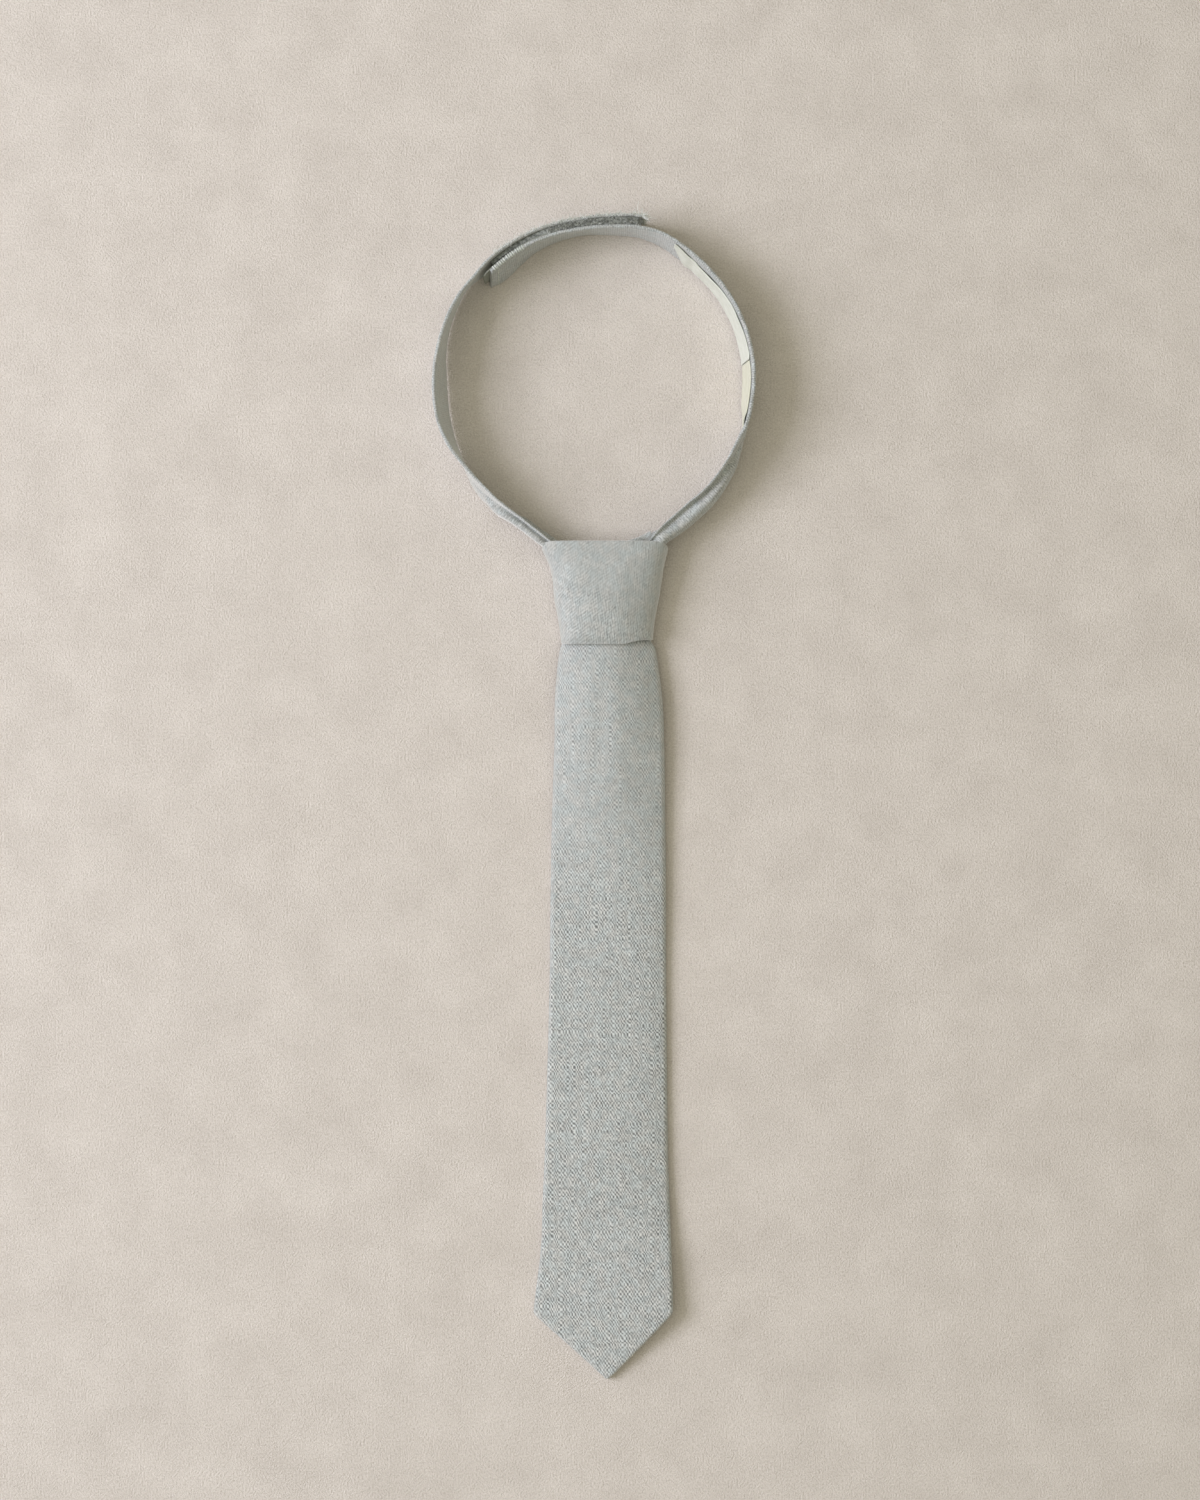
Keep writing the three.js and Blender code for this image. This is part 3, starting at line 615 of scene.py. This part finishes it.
def make_knot():
    # The profile runs up the outside, over the rounded upper edge, down the inside and round below
    outer = np.linspace(0, 1, knot_lengthways)
    hem = np.linspace(0, math.pi, hem_steps)[1:-1]
    inset = knot_cloth / 2
    lengthways = np.concatenate([outer, 1 + 0 * hem, outer[::-1], 0 * hem])
    bulge = np.concatenate([0 * outer, np.sin(hem), 0 * outer, -np.sin(hem)]) * inset
    side = np.concatenate([0 * outer, 1 - np.cos(hem), 2 + 0 * outer, 1 + np.cos(hem)]) * inset
    turns = np.radians(np.linspace(-90, 270, knot_around + 1)[:-1])
    turn = turns[:, None]
    facing = np.arcsin(np.sin(turn))
    behind = np.clip((math.radians(back_starts) - facing) / math.radians(back_span), 0, 1)
    share_x = np.cos(turn)
    lower = back_low_cut * behind**4 - edge_droop * (1 - share_x**2)
    lower = lower + edge_rise * smooth(0.5, 1, share_x) * (1 - behind)
    upper = knot_length - back_high_cut * behind**2
    along = lower + lengthways[None, :] * (upper - lower)
    left, right, thick, left_up, right_up, square, ridge = all_at(knot_rows, along)
    half_width = (right - left) / 2 - side[None, :]
    power = 2 / np.where(np.sin(turn) < 0, back_square, square)
    share_x = np.sign(np.cos(turn)) * np.abs(np.cos(turn)) ** power
    x = (right + left) / 2 + half_width * share_x
    x = x + np.where(np.sin(turn) > 0, ridge * (1 - share_x**2), 0)
    outermost = left_up + (right_up - left_up) * (1 + share_x) / 2
    reach = np.where(np.sin(turn) > 0, thick - outermost, outermost) - side[None, :]
    z = outermost + reach * np.sign(np.sin(turn)) * np.abs(np.sin(turn)) ** power
    y = along + bulge[None, :]
    front = smooth(0, 0.5, np.sin(turn))
    z = z + front * (dents_at(knot_dents, x, y) + 0.08 * noise(8, x / 4, y / 5))
    points = np.stack([x, y, z], -1)
    crest = knot_around // 2
    steps = np.linalg.norm(np.diff(points[..., ::2], axis=0), axis=-1)
    run = running(steps)
    face = x[crest] - run + run[crest]
    uvs = np.stack([way[0] * face + way[1] * y for way in (knot_u_way, knot_v_way)], -1)
    faces = grid_faces(points.shape[0], points.shape[1], wrap_rows=True, wrap_cols=True)
    flat = points.reshape(-1, 3)
    return make_object("knot", flat, facing_out(flat, faces), uvs.reshape(-1, 2), knot_linen)


knot = make_knot()

# The inner wrap of the knot, with its lip beside the right strap

# along is x, and y is where its wall stands, from foot up to high. tongue is how far the lip reaches.
inner_rows = table(
    "along y foot high tongue",
    (-8, 25.8, 0.5, 11.8, 0.6),
    (-3, 26.4, 0.5, 12.3, 2),
    (4, 27.2, 0.5, 12, 2.4),
    (8, 28.4, 3.5, 10.4, 2),
    (10.8, 29.8, 5.6, 9, 1.3),
    (12.3, 30.5, 6.2, 8.8, 0.8),
)
inner_bend = 1.2  # the radius of the fold between its wall and its lip
inner_cloth = 0.9
inner_across = 40  # points across each face
inner_weave = 12  # how far the weave passes along each face


def make_inner_band():
    steps = even_steps(inner_rows, 70)
    stands, feet, tops, tongues = all_at(inner_rows, steps)
    arc = inner_bend * math.pi / 2
    sections = []
    for foot, high, tongue in zip(feet, tops, tongues):
        wall = high - inner_bend - foot
        total = wall + arc + tongue
        s = np.linspace(0, total, inner_across)
        turn = np.interp(s, [0, wall, wall + arc, total], [0, 0, 90, 90])
        reach, up = bent_line(turn, s)
        sections.append(np.stack([-reach, foot + up], -1))
    middle = np.array(sections)
    t = np.linspace(0, 1, inner_across)
    half = inner_cloth / 2 * np.sqrt(np.clip(1 - (2 * t - 1) ** 8, 0, 1)) + 0.01
    ring = ring_of(middle, np.broadcast_to(half, middle.shape[:2]))
    x = np.broadcast_to(steps[:, None], ring.shape[:2])
    points = np.stack([x, stands[:, None] + ring[..., 0], ring[..., 1]], -1)
    v = np.concatenate([t, t[::-1]])[None, :] * inner_weave
    uvs = np.stack(np.broadcast_arrays(steps[:, None], v), -1)
    relief = 0.04 * noise(9, points[..., 0] / 2, points[..., 2] / 2)
    return tube_piece("knot_inner_wrap", points, uvs, knot_linen, relief)


inner_band = make_inner_band()

# The neck straps

# around is the angle round the loop's centre, radius where the strap's upper edge lies, and lift how
# far the strap hangs above the floor. Its section runs through five legs, and lean, wall, up, crest and
# curl go into strap_legs. fold is 0 where it stands flat and 1 where it is folded all the way, and thin
# is how much of its thickness is gone.
loop_centre = np.array([-3.55, 70.65])
strap_width = 18.0
strap_cloth = 1.0
left_rows = table(
    "around radius lift lean fold wall up crest curl thin",
    (74, 48.3, 0, 0, 0, 8, 0.5, 0.8, 0, 0.2),
    (82, 47, 0, 1, 0, 8, 0.5, 0.8, 0, 0.2),
    (95, 45.7, 0, 3, 0, 8, 0.5, 0.8, 0, 0.2),
    (113, 45.3, 0, 0, 0, 8, 0.5, 0.8, 0, 0.2),
    (131, 44.9, 0, -1.5, 0, 8, 0.5, 0.8, 0, 0.2),
    (138, 44.3, 0.4, 3.5, 0, 8, 0.5, 0.8, 0, 0.2),
    (142, 44.4, 0.5, 4.3, 0, 8, 0.5, 0.8, 0, 0.1),
    (147, 44.5, 0.5, 2.5, 0, 8, 0.5, 0.8, 0, 0),
    (162, 44.2, 0.6, -2, 0, 8, 0.5, 0.8, 0, 0),
    (178, 44.2, 0.7, -8.6, 0, 8, 0.5, 0.8, 0, 0),
    (196, 44, 0.7, -8.2, 0, 8, 0.5, 0.8, 0, 0),
    (213, 42, 0.4, 0.5, 0, 8, 0.5, 0.8, 0, 0),
    (218, 41.6, 0.3, 5, 0.03, 7.5, 0.5, 0.8, -4, 0.1),
    (224, 41.3, 0.1, 8, 0.15, 6, 0.6, 0.9, -12, 0.3),
    (230, 41.3, 0, 7, 0.45, 4.4, 0.9, 0.9, -32, 0.45),
    (236, 41.3, 0, 6, 0.9, 2.8, 1.1, 0.9, -46, 0.5),
    (242, 41.7, 0, 5, 1, 2.4, 1.2, 0.9, -56, 0.5),
    (248, 42.8, 0, 4, 1, 2.2, 1.3, 0.8, -56, 0.5),
    (254, 44.5, 0, 3, 1, 2, 1.4, 0.7, -60, 0.55),
    (262, 47.6, 0.1, 6, 1, 2, 1.6, 0.7, -66, 0.6),
)
right_rows = table(
    "around radius lift lean fold wall up crest curl thin",
    (-77, 48.8, 0.1, 8, 1, 0.9, 1.2, 1.4, -84, 0.4),
    (-71, 45.8, 0.1, 8, 1, 0.7, 0.9, 1.6, -82, 0.4),
    (-67, 44.1, 0.1, 8, 1, 0.5, 0.5, 1.8, -80, 0.4),
    (-63, 42.9, 0, 8, 1, 1, 1.1, 1.9, -76, 0.4),
    (-59, 42.2, 0, 8, 1, 1.3, 1.5, 1.9, -70, 0.4),
    (-51, 41.5, 0, 7, 1, 1.8, 1.5, 1.9, -58, 0.4),
    (-46, 41.7, 0, 6, 1, 2.3, 1.3, 1.6, -50, 0.4),
    (-40, 42, 0, 5, 0.9, 2.5, 1, 1.2, -48, 0.4),
    (-34, 42.1, 0, 5, 0.75, 2.8, 0.8, 1, -44, 0.4),
    (-28, 42.2, 0, 7, 0.5, 3.6, 0.6, 0.9, -38, 0.3),
    (-23, 42.4, 0, 6, 0.25, 5, 0.5, 0.8, -26, 0.1),
    (-19, 42.7, 0, 4, 0.1, 6.5, 0.5, 0.8, -14, 0),
    (-14, 43.4, 0, 1, 0, 8, 0.5, 0.8, -4, 0),
    (-6, 43.8, 0, -5.5, 0, 8, 0.5, 0.8, 0, 0),
    (10, 44.4, 0, -6, 0, 8, 0.5, 0.8, 0, 0),
    (30, 44.7, 0, -4, 0, 8, 0.5, 0.8, 0, 0),
    (50, 45, 0, -4, 0, 8, 0.5, 0.8, 0, 0),
    (65, 45.6, 0, -3, 0, 8, 0.5, 0.8, 0, 0),
    (74, 44.9, 0, 0, 0, 8, 0.5, 0.8, 0, 0),
    (82, 43.9, 0, 1, 0, 8, 0.5, 0.8, 0, 0),
    (95, 42.9, 0, 3, 0, 8, 0.5, 0.8, 0, 0),
    (113, 42.6, 0, -1, 0, 8, 0.5, 0.8, 0, 0),
    (120, 42.4, 0, -4.5, 0, 8, 0.5, 0.8, 0, 0),
    (127, 42.2, 0, -7, 0, 8, 0.5, 0.8, 0, 0),
    (132.2, 42.1, 0, -3.5, 0, 8, 0.5, 0.8, 0, 0),
)
# Where a strap is folded all the way: its direction up from the crease, its direction down from the
# crest, and the length of the crease
left_fold = (155, 12, 0.9)
right_fold = (130, 20, 1.4)
flat_crease = 0.6  # the same length where a strap isn't folded
right_slant = 2.0  # how much further the right strap's end reaches at its lower edge
slant_span = 16  # how many degrees before the end it begins to
strap_steps = 361  # steps in which each section is worked out
bend_steps = 13  # how many of them each bend is spread over, an odd number
strap_across = 56
thin_ends = (8, 14)  # how far down the strap is at its thinnest, and where less so
thin_below = 0.4  # how much of the thinning is left below that
strap_weave_gap = 4  # between the weave of the two faces


def strap_legs(row, fold):
    """Lengths of the section's legs from the upper edge down, and the direction where each begins
    and the last one ends. 0 is down, 90 outwards and 180 up."""

    def part(flat, folded):
        return flat + (folded - flat) * row["fold"]

    rise, fall = part(row["lean"], fold[0]), part(row["lean"], fold[1])
    crease = part(flat_crease, fold[2])
    rest = strap_width - row["wall"] - crease - row["up"] - row["crest"]
    lengths = [row["wall"], crease, row["up"], row["crest"], rest]
    return lengths, [row["lean"], row["lean"], rise, rise, fall, fall + row["curl"]]


def strap_edge(rows, around):
    """The upper edge's place and outward direction at some angles round the loop."""

    def edge(angle):
        radius = at(rows, "radius", angle)[..., None]
        turn = np.radians(angle)
        return loop_centre + radius * np.stack([np.cos(turn), np.sin(turn)], -1)

    run = edge(around + 0.5) - edge(around - 0.5)
    run /= np.linalg.norm(run, axis=-1, keepdims=True)
    return edge(around), np.stack([run[..., 1], -run[..., 0]], -1)


def strap_sections(rows, fold, around, places):
    """The middle line of the strap's section at each angle: outwards and height."""
    sections = []
    fine = np.linspace(0, strap_width, strap_steps)
    for angle in around:
        row = {name: float(at(rows, name, angle)) for name in rows if name != "around"}
        lengths, turns = strap_legs(row, fold)
        turn = np.interp(fine, running(lengths), turns)
        padded = np.pad(turn, bend_steps // 2, mode="edge")
        turn = np.convolve(padded, np.ones(bend_steps) / bend_steps, "valid")
        out, down = bent_line(turn, fine)
        up = -down
        # A standing edge touches the floor with its rim and a lying fold with its side
        lowest = int(up.argmin())
        lying = abs(math.sin(math.radians(turn[lowest])))
        half = strap_cloth / 2 * (1 - row["thin"])
        up += max(row["lift"], 0) + half * lying + FLOOR_GAP - up.min()
        sections.append(np.stack([np.interp(places, fine, out), np.interp(places, fine, up)], -1))
    return np.array(sections)


def strap_half(rows, around, places, half):
    """Half the strap's thickness, with its thin places."""
    thin = np.clip(at(rows, "thin", around), 0, 1)[:, None]
    return half[None, :] * (1 - thin * (1 - (1 - thin_below) * smooth(*thin_ends, places)[None, :]))


def length_along(edge):
    """Distances from a line's first point to each of its points."""
    return running(np.linalg.norm(np.diff(edge, axis=0), axis=1))


def make_strap(name, rows, fold, count, material, seed, slant=0.0):
    around = even_steps(rows, count)
    places, half = rounded_samples(strap_width, strap_cloth, strap_across)
    middle = strap_sections(rows, fold, around, places)
    ring = ring_of(middle, strap_half(rows, around, places, half))
    edge, outward = strap_edge(rows, around)
    flat = edge[:, None, :] + outward[:, None, :] * ring[..., :1]
    down = np.concatenate([places, places[::-1]])
    onward = np.stack([-outward[:, 1], outward[:, 0]], -1)
    near_end = smooth(around[-1] - slant_span, around[-1], around)
    reach = slant * near_end[:, None] * down[None, :] / strap_width
    flat = flat + onward[:, None, :] * reach[..., None]
    points = np.concatenate([flat, ring[..., 1:]], -1)
    across = np.concatenate([places, 2 * strap_width + strap_weave_gap - places[::-1]])
    u, v = np.broadcast_arrays(length_along(edge)[:, None], across[None, :])
    relief = 0.05 * noise(seed, u / 3.1, v / 5.0) + 0.035 * noise(seed + 1, u / 1.15, v / 7.0)
    points[..., 2] = np.maximum(points[..., 2], FLOOR_GAP)
    return tube_piece(name, points, np.stack([u, v], -1), material, relief), points


strap_left, _ = make_strap(
    "strap_left_cloth", left_rows, left_fold, count=420, material=left_linen, seed=21
)
strap_right, right_points = make_strap(
    "strap_right_cloth", right_rows, right_fold, 460, right_linen, seed=31, slant=right_slant
)

# What lies against the straps

# off is how far a strip stands off its strap, and top and bottom are where it begins and ends, from the
# strap's upper edge down
tape_rows = table(
    "around off top bottom thick",
    (75, 0, 0.45, 16, 2.3),
    (90, 0, 0.45, 16, 2.1),
    (102, 0, 0.5, 16, 1.8),
    (114, 0, 1.6, 16, 1.5),
    (130, 0, 2.6, 16, 1.15),
)
hook_rows = table(
    "around off top bottom",
    (79, 0.02, 1, 15.5),
    (132.6, 0.02, 1, 15.5),
    (134.6, 0.02, 1.5, 15.5),
    (135.8, 0.02, 3, 15.5),
)
label_rows = table(
    "around off top bottom",
    (9.2, 0.2, 1.6, 16.2),
    (11, 0.02, 1.7, 16.2),
    (14, 0, 1.8, 16.2),
    (25, 0, 2, 16.2),
    (36, 0, 3.2, 16.2),
    (44, 0.12, 4.3, 15.8),
    (48, 0.2, 4.4, 15.6),
    (51, 0, 3.9, 16),
    (54, 0.25, 3.2, 16.2),
    (57.5, 0.1, 1.8, 11),
    (60, 0.05, 0.9, 5),
)
size_rows = table(
    "around off top bottom",
    (-15.5, 0.02, 11, 16.5),
    (-12, 0.12, 4.5, 16.5),
    (-10, 0.02, 2.4, 16.5),
    (-3, 0.05, 1.8, 16.5),
    (5, 0.03, 1.8, 16.3),
    (8.9, 0, 2.6, 16.2),
)
strip_width = 14.0  # about the width of each strip, for rounding its edges
strip_across = 30
strip_back_shift = 30  # how far the weave of the back lies from that of the front
wave_length = 6.0  # of a strip's waves, in degrees round the loop and in mm down it


def against_strap(
    name, rows, strap_rows, fold, thick, side, count, material, wave=0.0, seed=0, base=strap_cloth / 2
):
    """A strip that lies against a strap's inner face where side is -1, or its outer face where it is 1.
    wave is how far it may stand off, and base where it begins, from the strap's middle line."""
    around = even_steps(rows, count)
    off, top, bottom, *swollen = all_at(rows, around[:, None])
    share, half = rounded_samples(strip_width, thick, strip_across)
    share = share / strip_width
    lean = np.radians(at(strap_rows, "lean", around))
    upper = strap_sections(strap_rows, fold, around, np.array([0.0]))[:, 0]
    if swollen:
        half = half[None, :] * swollen[0] / thick
        thick = swollen[0]
    down = top + (bottom - top) * share[None, :]
    waves = noise(seed, around[:, None] / wave_length, down / wave_length)
    lifted = off + wave * (0.5 + 0.5 * waves)
    away = side * (base + lifted + thick / 2)
    out = upper[:, :1] + down * np.sin(lean)[:, None] + away * np.cos(lean)[:, None]
    high = upper[:, 1:] - down * np.cos(lean)[:, None] + away * np.sin(lean)[:, None]
    middle = np.stack([out, high], -1)
    ring = ring_of(middle, np.broadcast_to(half, middle.shape[:2]))
    edge, outward = strap_edge(strap_rows, around)
    flat = edge[:, None, :] + outward[:, None, :] * ring[..., :1]
    points = np.concatenate([flat, ring[..., 1:]], -1)
    v = np.concatenate([down, down[:, ::-1] + strip_back_shift], 1)
    uvs = np.stack(np.broadcast_arrays(length_along(edge)[:, None], v), -1)
    return tube_piece(name, points, uvs, material)


on_left = {"strap_rows": left_rows, "fold": left_fold}
on_right = {"strap_rows": right_rows, "fold": right_fold}
ribbon = {"thick": 0.3, "side": -1, "wave": 0.3}
loop_strip = against_strap(
    "loop_pile_tape", tape_rows, **on_left, thick=0.6, side=-1, count=160, material=pile_tape, base=0.4
)
hook_strip = against_strap(
    "hook_tape_strip", hook_rows, **on_right, thick=0.35, side=1, count=80, material=hook_tape
)
neck_label = against_strap(
    "neck_label_ribbon", label_rows, **on_right, **ribbon, count=200, material=label_ribbon, seed=41
)
size_label = against_strap(
    "size_label_ribbon", size_rows, **on_right, **ribbon, count=110, material=size_ribbon, seed=43
)

# Loose fibres and stitches

fibre_taper = np.array([1, 0.95, 0.8, 0.6, 0.3])
fibre_curl = 0.5
draw = np.random.default_rng(77)  # for all the fibres, in this order
stitch_taper = np.array([0.6, 0.9, 1, 1, 1, 0.9, 0.6])


def threads_piece(name, lines, radii, material, sides=4):
    """Thin round threads along lines with shape (threads, points, 3). radii has one for each point."""
    threads, steps = lines.shape[:2]
    run = np.gradient(lines, axis=1)
    run /= np.maximum(np.linalg.norm(run, axis=2, keepdims=True), 1e-9)
    helper = np.where(np.abs(run[..., 2:]) > 0.8, np.array([1.0, 0, 0]), np.array([0, 0, 1.0]))
    side = np.cross(run, helper)
    side /= np.linalg.norm(side, axis=2, keepdims=True)
    other = np.cross(run, side)
    turn = np.linspace(0, math.tau, sides, endpoint=False)
    ring = side[:, :, None] * np.cos(turn)[:, None] + other[:, :, None] * np.sin(turn)[:, None]
    points = lines[:, :, None] + ring * np.asarray(radii)[None, :, None, None]
    faces = []
    for i in range(threads):
        start = i * steps * sides
        faces += grid_faces(steps, sides, wrap_cols=True, start=start)
        faces.append([start + k for k in range(sides)])
        faces.append([start + (steps - 1) * sides + k for k in reversed(range(sides))])
    flat = points.reshape(-1, 3)
    uvs = flat[:, :2]
    return make_object(name, flat, faces, uvs, material)


def raised(flat, height):
    """Places or ways in space from ones in the plane, with a column of heights or one height."""
    return np.concatenate([flat, np.broadcast_to(height, (len(flat), 1))], 1)


def fibres(name, roots, ways, shortest, longest, radius, material, seed):
    """Short curved fibres that taper to their ends."""
    lengths = draw.uniform(shortest, longest, len(roots))
    bends = np.random.default_rng(seed).normal(0, fibre_curl, ways.shape)
    s = np.linspace(0, 1, len(fibre_taper))[None, :, None]
    lines = roots[:, None] + lengths[:, None, None] * (ways[:, None] * s + bends[:, None] * s**2)
    lines[..., 2] = np.maximum(lines[..., 2], 0.1)
    return threads_piece(name, lines, radius * fibre_taper, material, 3)


def on_inner_face(points, rows, angle, down_share):
    """Points of a strap's grid on its inner face, at some angles and shares of the way down."""
    first, last = key_of(rows)[0], key_of(rows)[-1]
    row = (angle - first) / (last - first) * (points.shape[0] - 1)
    column = points.shape[1] - 1 - down_share * (points.shape[1] // 2 - 1)
    return points[np.round(row).astype(int), np.round(column).astype(int)]


# The pile stands out from the loop tape's upper edge
pile_count = 1000
pile_angle = draw.uniform(74.3, 107, pile_count)
pile_edge, pile_out = strap_edge(left_rows, pile_angle)
pile_in = 0.45 + draw.uniform(0, 1.0, pile_count) * at(tape_rows, "thick", pile_angle)
pile_foot = draw.uniform(16.9, 17.5, (pile_count, 1))
pile_roots = raised(pile_edge - pile_out * pile_in[:, None], pile_foot)
pile_ways = draw.normal(0, 0.6, (pile_count, 3)) + [0, 0, 0.6]
pile_fibres = fibres(
    "loop_pile_fibres", pile_roots, pile_ways, 0.4, 0.9, radius=0.085, material=pile_thread, seed=5
)
# The strap's upper edge is worn fluffy along the tape
fluff_count = 900
fluff_angle = draw.uniform(74, 128, fluff_count)
fluff_edge, fluff_out = strap_edge(left_rows, fluff_angle)
fluff_roots = raised(fluff_edge, draw.uniform(17.7, 18.25, (fluff_count, 1)))
fluff_ways = raised(fluff_out * draw.uniform(0, 1.2, (fluff_count, 1)), 0)
fluff_ways += draw.normal(0, 0.35, fluff_ways.shape)
fluff_fibres = fibres(
    "strap_edge_fluff", fluff_roots, fluff_ways, 0.4, 1.0, radius=0.07, material=fluff_thread, seed=6
)
# Its cut end has come undone a little, most at the top
fray_count = 260
fray_top = 18.3
fray_depth = 15
fray_down = 0.2 + fray_depth * draw.uniform(0, 1, (fray_count, 1)) ** 2
fray_edge, fray_out = strap_edge(left_rows, np.full(fray_count, key_of(left_rows)[0]))
fray_spread = fray_out * draw.uniform(-0.4, 0.3, (fray_count, 1))
fray_roots = raised(fray_edge + fray_spread, fray_top - fray_down)
fray_on = np.stack([fray_out[:, 1], -fray_out[:, 0], np.zeros(fray_count)], -1)
fray_ways = fray_on + draw.normal(0, 0.4, (fray_count, 3))
fray_fibres = fibres(
    "strap_end_fray", fray_roots, fray_ways, 0.5, 1.3, radius=0.09, material=fluff_thread, seed=7
)
# A few long wisps stand off the top of the end. back is how far from the end each is rooted
wisp_rows = table(
    "back out up side",
    (0.4, 1.8, 1, 0.3),
    (1, 3.6, 1.6, -0.6),
    (1.4, 1.6, 1.3, -0.9),
)
wisp_root = np.array([*fray_edge[0], 17.9])
wisp_radii = 0.1 * np.linspace(1, 0.5, 9)
wisp_lines = []
for back, out, up, side in zip(*wisp_rows.values()):
    s = np.linspace(0, 1, len(wisp_radii))[:, None]
    way = np.array([*(fray_out[0] * out), up])
    bend = side * 0.8 * np.sin(s * 2.4)
    wisp_lines.append(wisp_root - fray_on[0] * back + way * s + fray_on[0] * bend)
wisps = threads_piece("strap_end_wisps", np.array(wisp_lines), wisp_radii, fluff_thread)


def stitches(name, centres, ways, outs, length, radius):
    """Short stitches that stand out in the middle and dip into the cloth at both ends."""
    s = np.linspace(-1, 1, len(stitch_taper))
    rise = radius * (0.9 - 1.5 * s**4)
    lines = centres[:, None] + ways[:, None] * (s * length / 2)[None, :, None]
    lines = lines + outs[:, None] * rise[None, :, None]
    return threads_piece(name, lines, radius * stitch_taper, thread, 6)


def blade_back(y):
    """Points down the middle of the blade's back."""
    left, right, _, _, lift, tilt, arch, _ = all_at(blade_rows, y)
    up = np.maximum(lift, 0) + np.maximum(tilt, 0) / 2 + np.maximum(arch, 0) + 0.12
    return np.stack([(left + right) / 2, y, up], -1)


# Slip stitches close the seam down the blade's back
slip_centres = blade_back(np.arange(-182.0, -6.0, 5.5))
slip_ways = np.tile([0.55, 0.83, 0.0], (len(slip_centres), 1))
slip_outs = np.tile([0.0, 0.0, -1.0], (len(slip_centres), 1))
slip_stitches = stitches("blade_slip_stitches", slip_centres, slip_ways, slip_outs, length=2.4, radius=0.16)
# The hem at the end of the inner strap
hem_around = np.full(8, 129.4)
hem_down = np.linspace(0.09, 0.9, len(hem_around))
hem_centres = on_inner_face(right_points, right_rows, hem_around, hem_down)
hem_ways = on_inner_face(right_points, right_rows, hem_around, hem_down + 0.05) - hem_centres
hem_ways = hem_ways / np.linalg.norm(hem_ways, axis=1, keepdims=True)
hem_outs = raised(-strap_edge(right_rows, hem_around)[1], 0)
hem_stitches = stitches("strap_hem_stitches", hem_centres, hem_ways, hem_outs, length=1.7, radius=0.17)
# Whip stitches run over its upper edge
whip_around = np.linspace(117.5, 130.8, 14)
whip_radius = strap_cloth / 2 + 0.1
whip_thread = 0.17 * np.ones(9)
whip_tops = on_inner_face(right_points, right_rows, whip_around, 0 * whip_around)
whip_turns = np.radians(np.linspace(-80, 100, len(whip_thread)))[None, :, None]
whip_in = raised(-strap_edge(right_rows, whip_around)[1], 0)[:, None]
whip_lines = whip_tops[:, None] + whip_in * np.sin(whip_turns) * whip_radius
whip_lines[..., 2:] += np.cos(whip_turns) * whip_radius - strap_cloth / 2
whip_stitches = threads_piece("strap_edge_stitches", whip_lines, whip_thread, thread, 6)

# The parts that belong together

for piece, node, slot in (
    (blade, "front_blade", "linen"),
    (knot, "knot_front_band", "linen"),
    (inner_band, "knot_inner_band", "linen"),
    (strap_left, "strap_left", "linen"),
    (strap_right, "strap_right", "linen"),
    (loop_strip, "loop_tape", "loop_pile"),
    (hook_strip, "hook_tape", "hook_tape"),
    (neck_label, "neck_label", "label_cream"),
    (size_label, "size_label", "label_yellow"),
):
    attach(piece, "root")
    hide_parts(node)

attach(pile_fibres, "root")
for piece in (fluff_fibres, fray_fibres, wisps, slip_stitches, hem_stitches, whip_stitches):
    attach(piece, "root")

# The stage

floor_half = 2.0
floor_drop = 0.06  # in millimetres, so that no piece is flush with the floor
floor_corners = [(x * floor_half, y * floor_half, 0) for x, y in ((-1, -1), (1, -1), (1, 1), (-1, 1))]
floor_mesh = bpy.data.meshes.new("floor")
floor_mesh.from_pydata(floor_corners, [], [(0, 1, 2, 3)])
floor_mesh.materials.append(floor_material())
floor = add_object("floor", floor_mesh)
floor.location.z = -floor_drop * MM

camera_height = 1000
picture_height = 420  # how much of the floor the picture shows, from top to bottom
picture_centre = (-1.9, -30)
camera_data = bpy.data.cameras.new("camera")
camera_data.sensor_width = 36
camera_data.lens = camera_data.sensor_width * camera_height / picture_height
camera_data.clip_start = 0.05
camera_data.clip_end = 20
camera = add_object("camera", camera_data)
camera.location.x = (shift[0] + picture_centre[0]) * MM
camera.location.y = (shift[1] + picture_centre[1]) * MM
camera.location.z = camera_height * MM
scene.camera = camera

DAYLIGHT = (0.97, 0.975, 1.09)
WARM_LIGHT = (1.0, 0.96, 0.8)
ROOM_COLOUR = (1.0, 0.96, 0.76, 1)
ROOM_STRENGTH = 0.365


def area_light(name, azimuth, elevation, distance, size, power, colour):
    """A square light that looks at the tie. Azimuth 0 is to the right and 90 is up the picture, and
    distance and size are in metres."""
    data = bpy.data.lights.new(name, "AREA")
    data.shape = "SQUARE"
    data.size = size
    data.energy = power
    data.color = colour
    light = add_object(name, data)
    a, e = math.radians(azimuth), math.radians(elevation)
    way = Vector((math.cos(a) * math.cos(e), math.sin(a) * math.cos(e), math.sin(e)))
    light.location = way * distance
    light.rotation_mode = "QUATERNION"
    light.rotation_quaternion = way.to_track_quat("Z", "Y")


scene.view_settings.view_transform = "Standard"
area_light("key", 172, 45, 1.45, 0.72, 13.3, DAYLIGHT)
area_light("side", 178, 22, 1.6, 0.9, 4.6, DAYLIGHT)
area_light("overhead", 172, 82, 2.0, 1.5, 8.0, WARM_LIGHT)

world = bpy.data.worlds.new("room")
world.use_nodes = True
background = world.node_tree.nodes["Background"]
background.inputs["Color"].default_value = ROOM_COLOUR
background.inputs["Strength"].default_value = ROOM_STRENGTH
scene.world = world
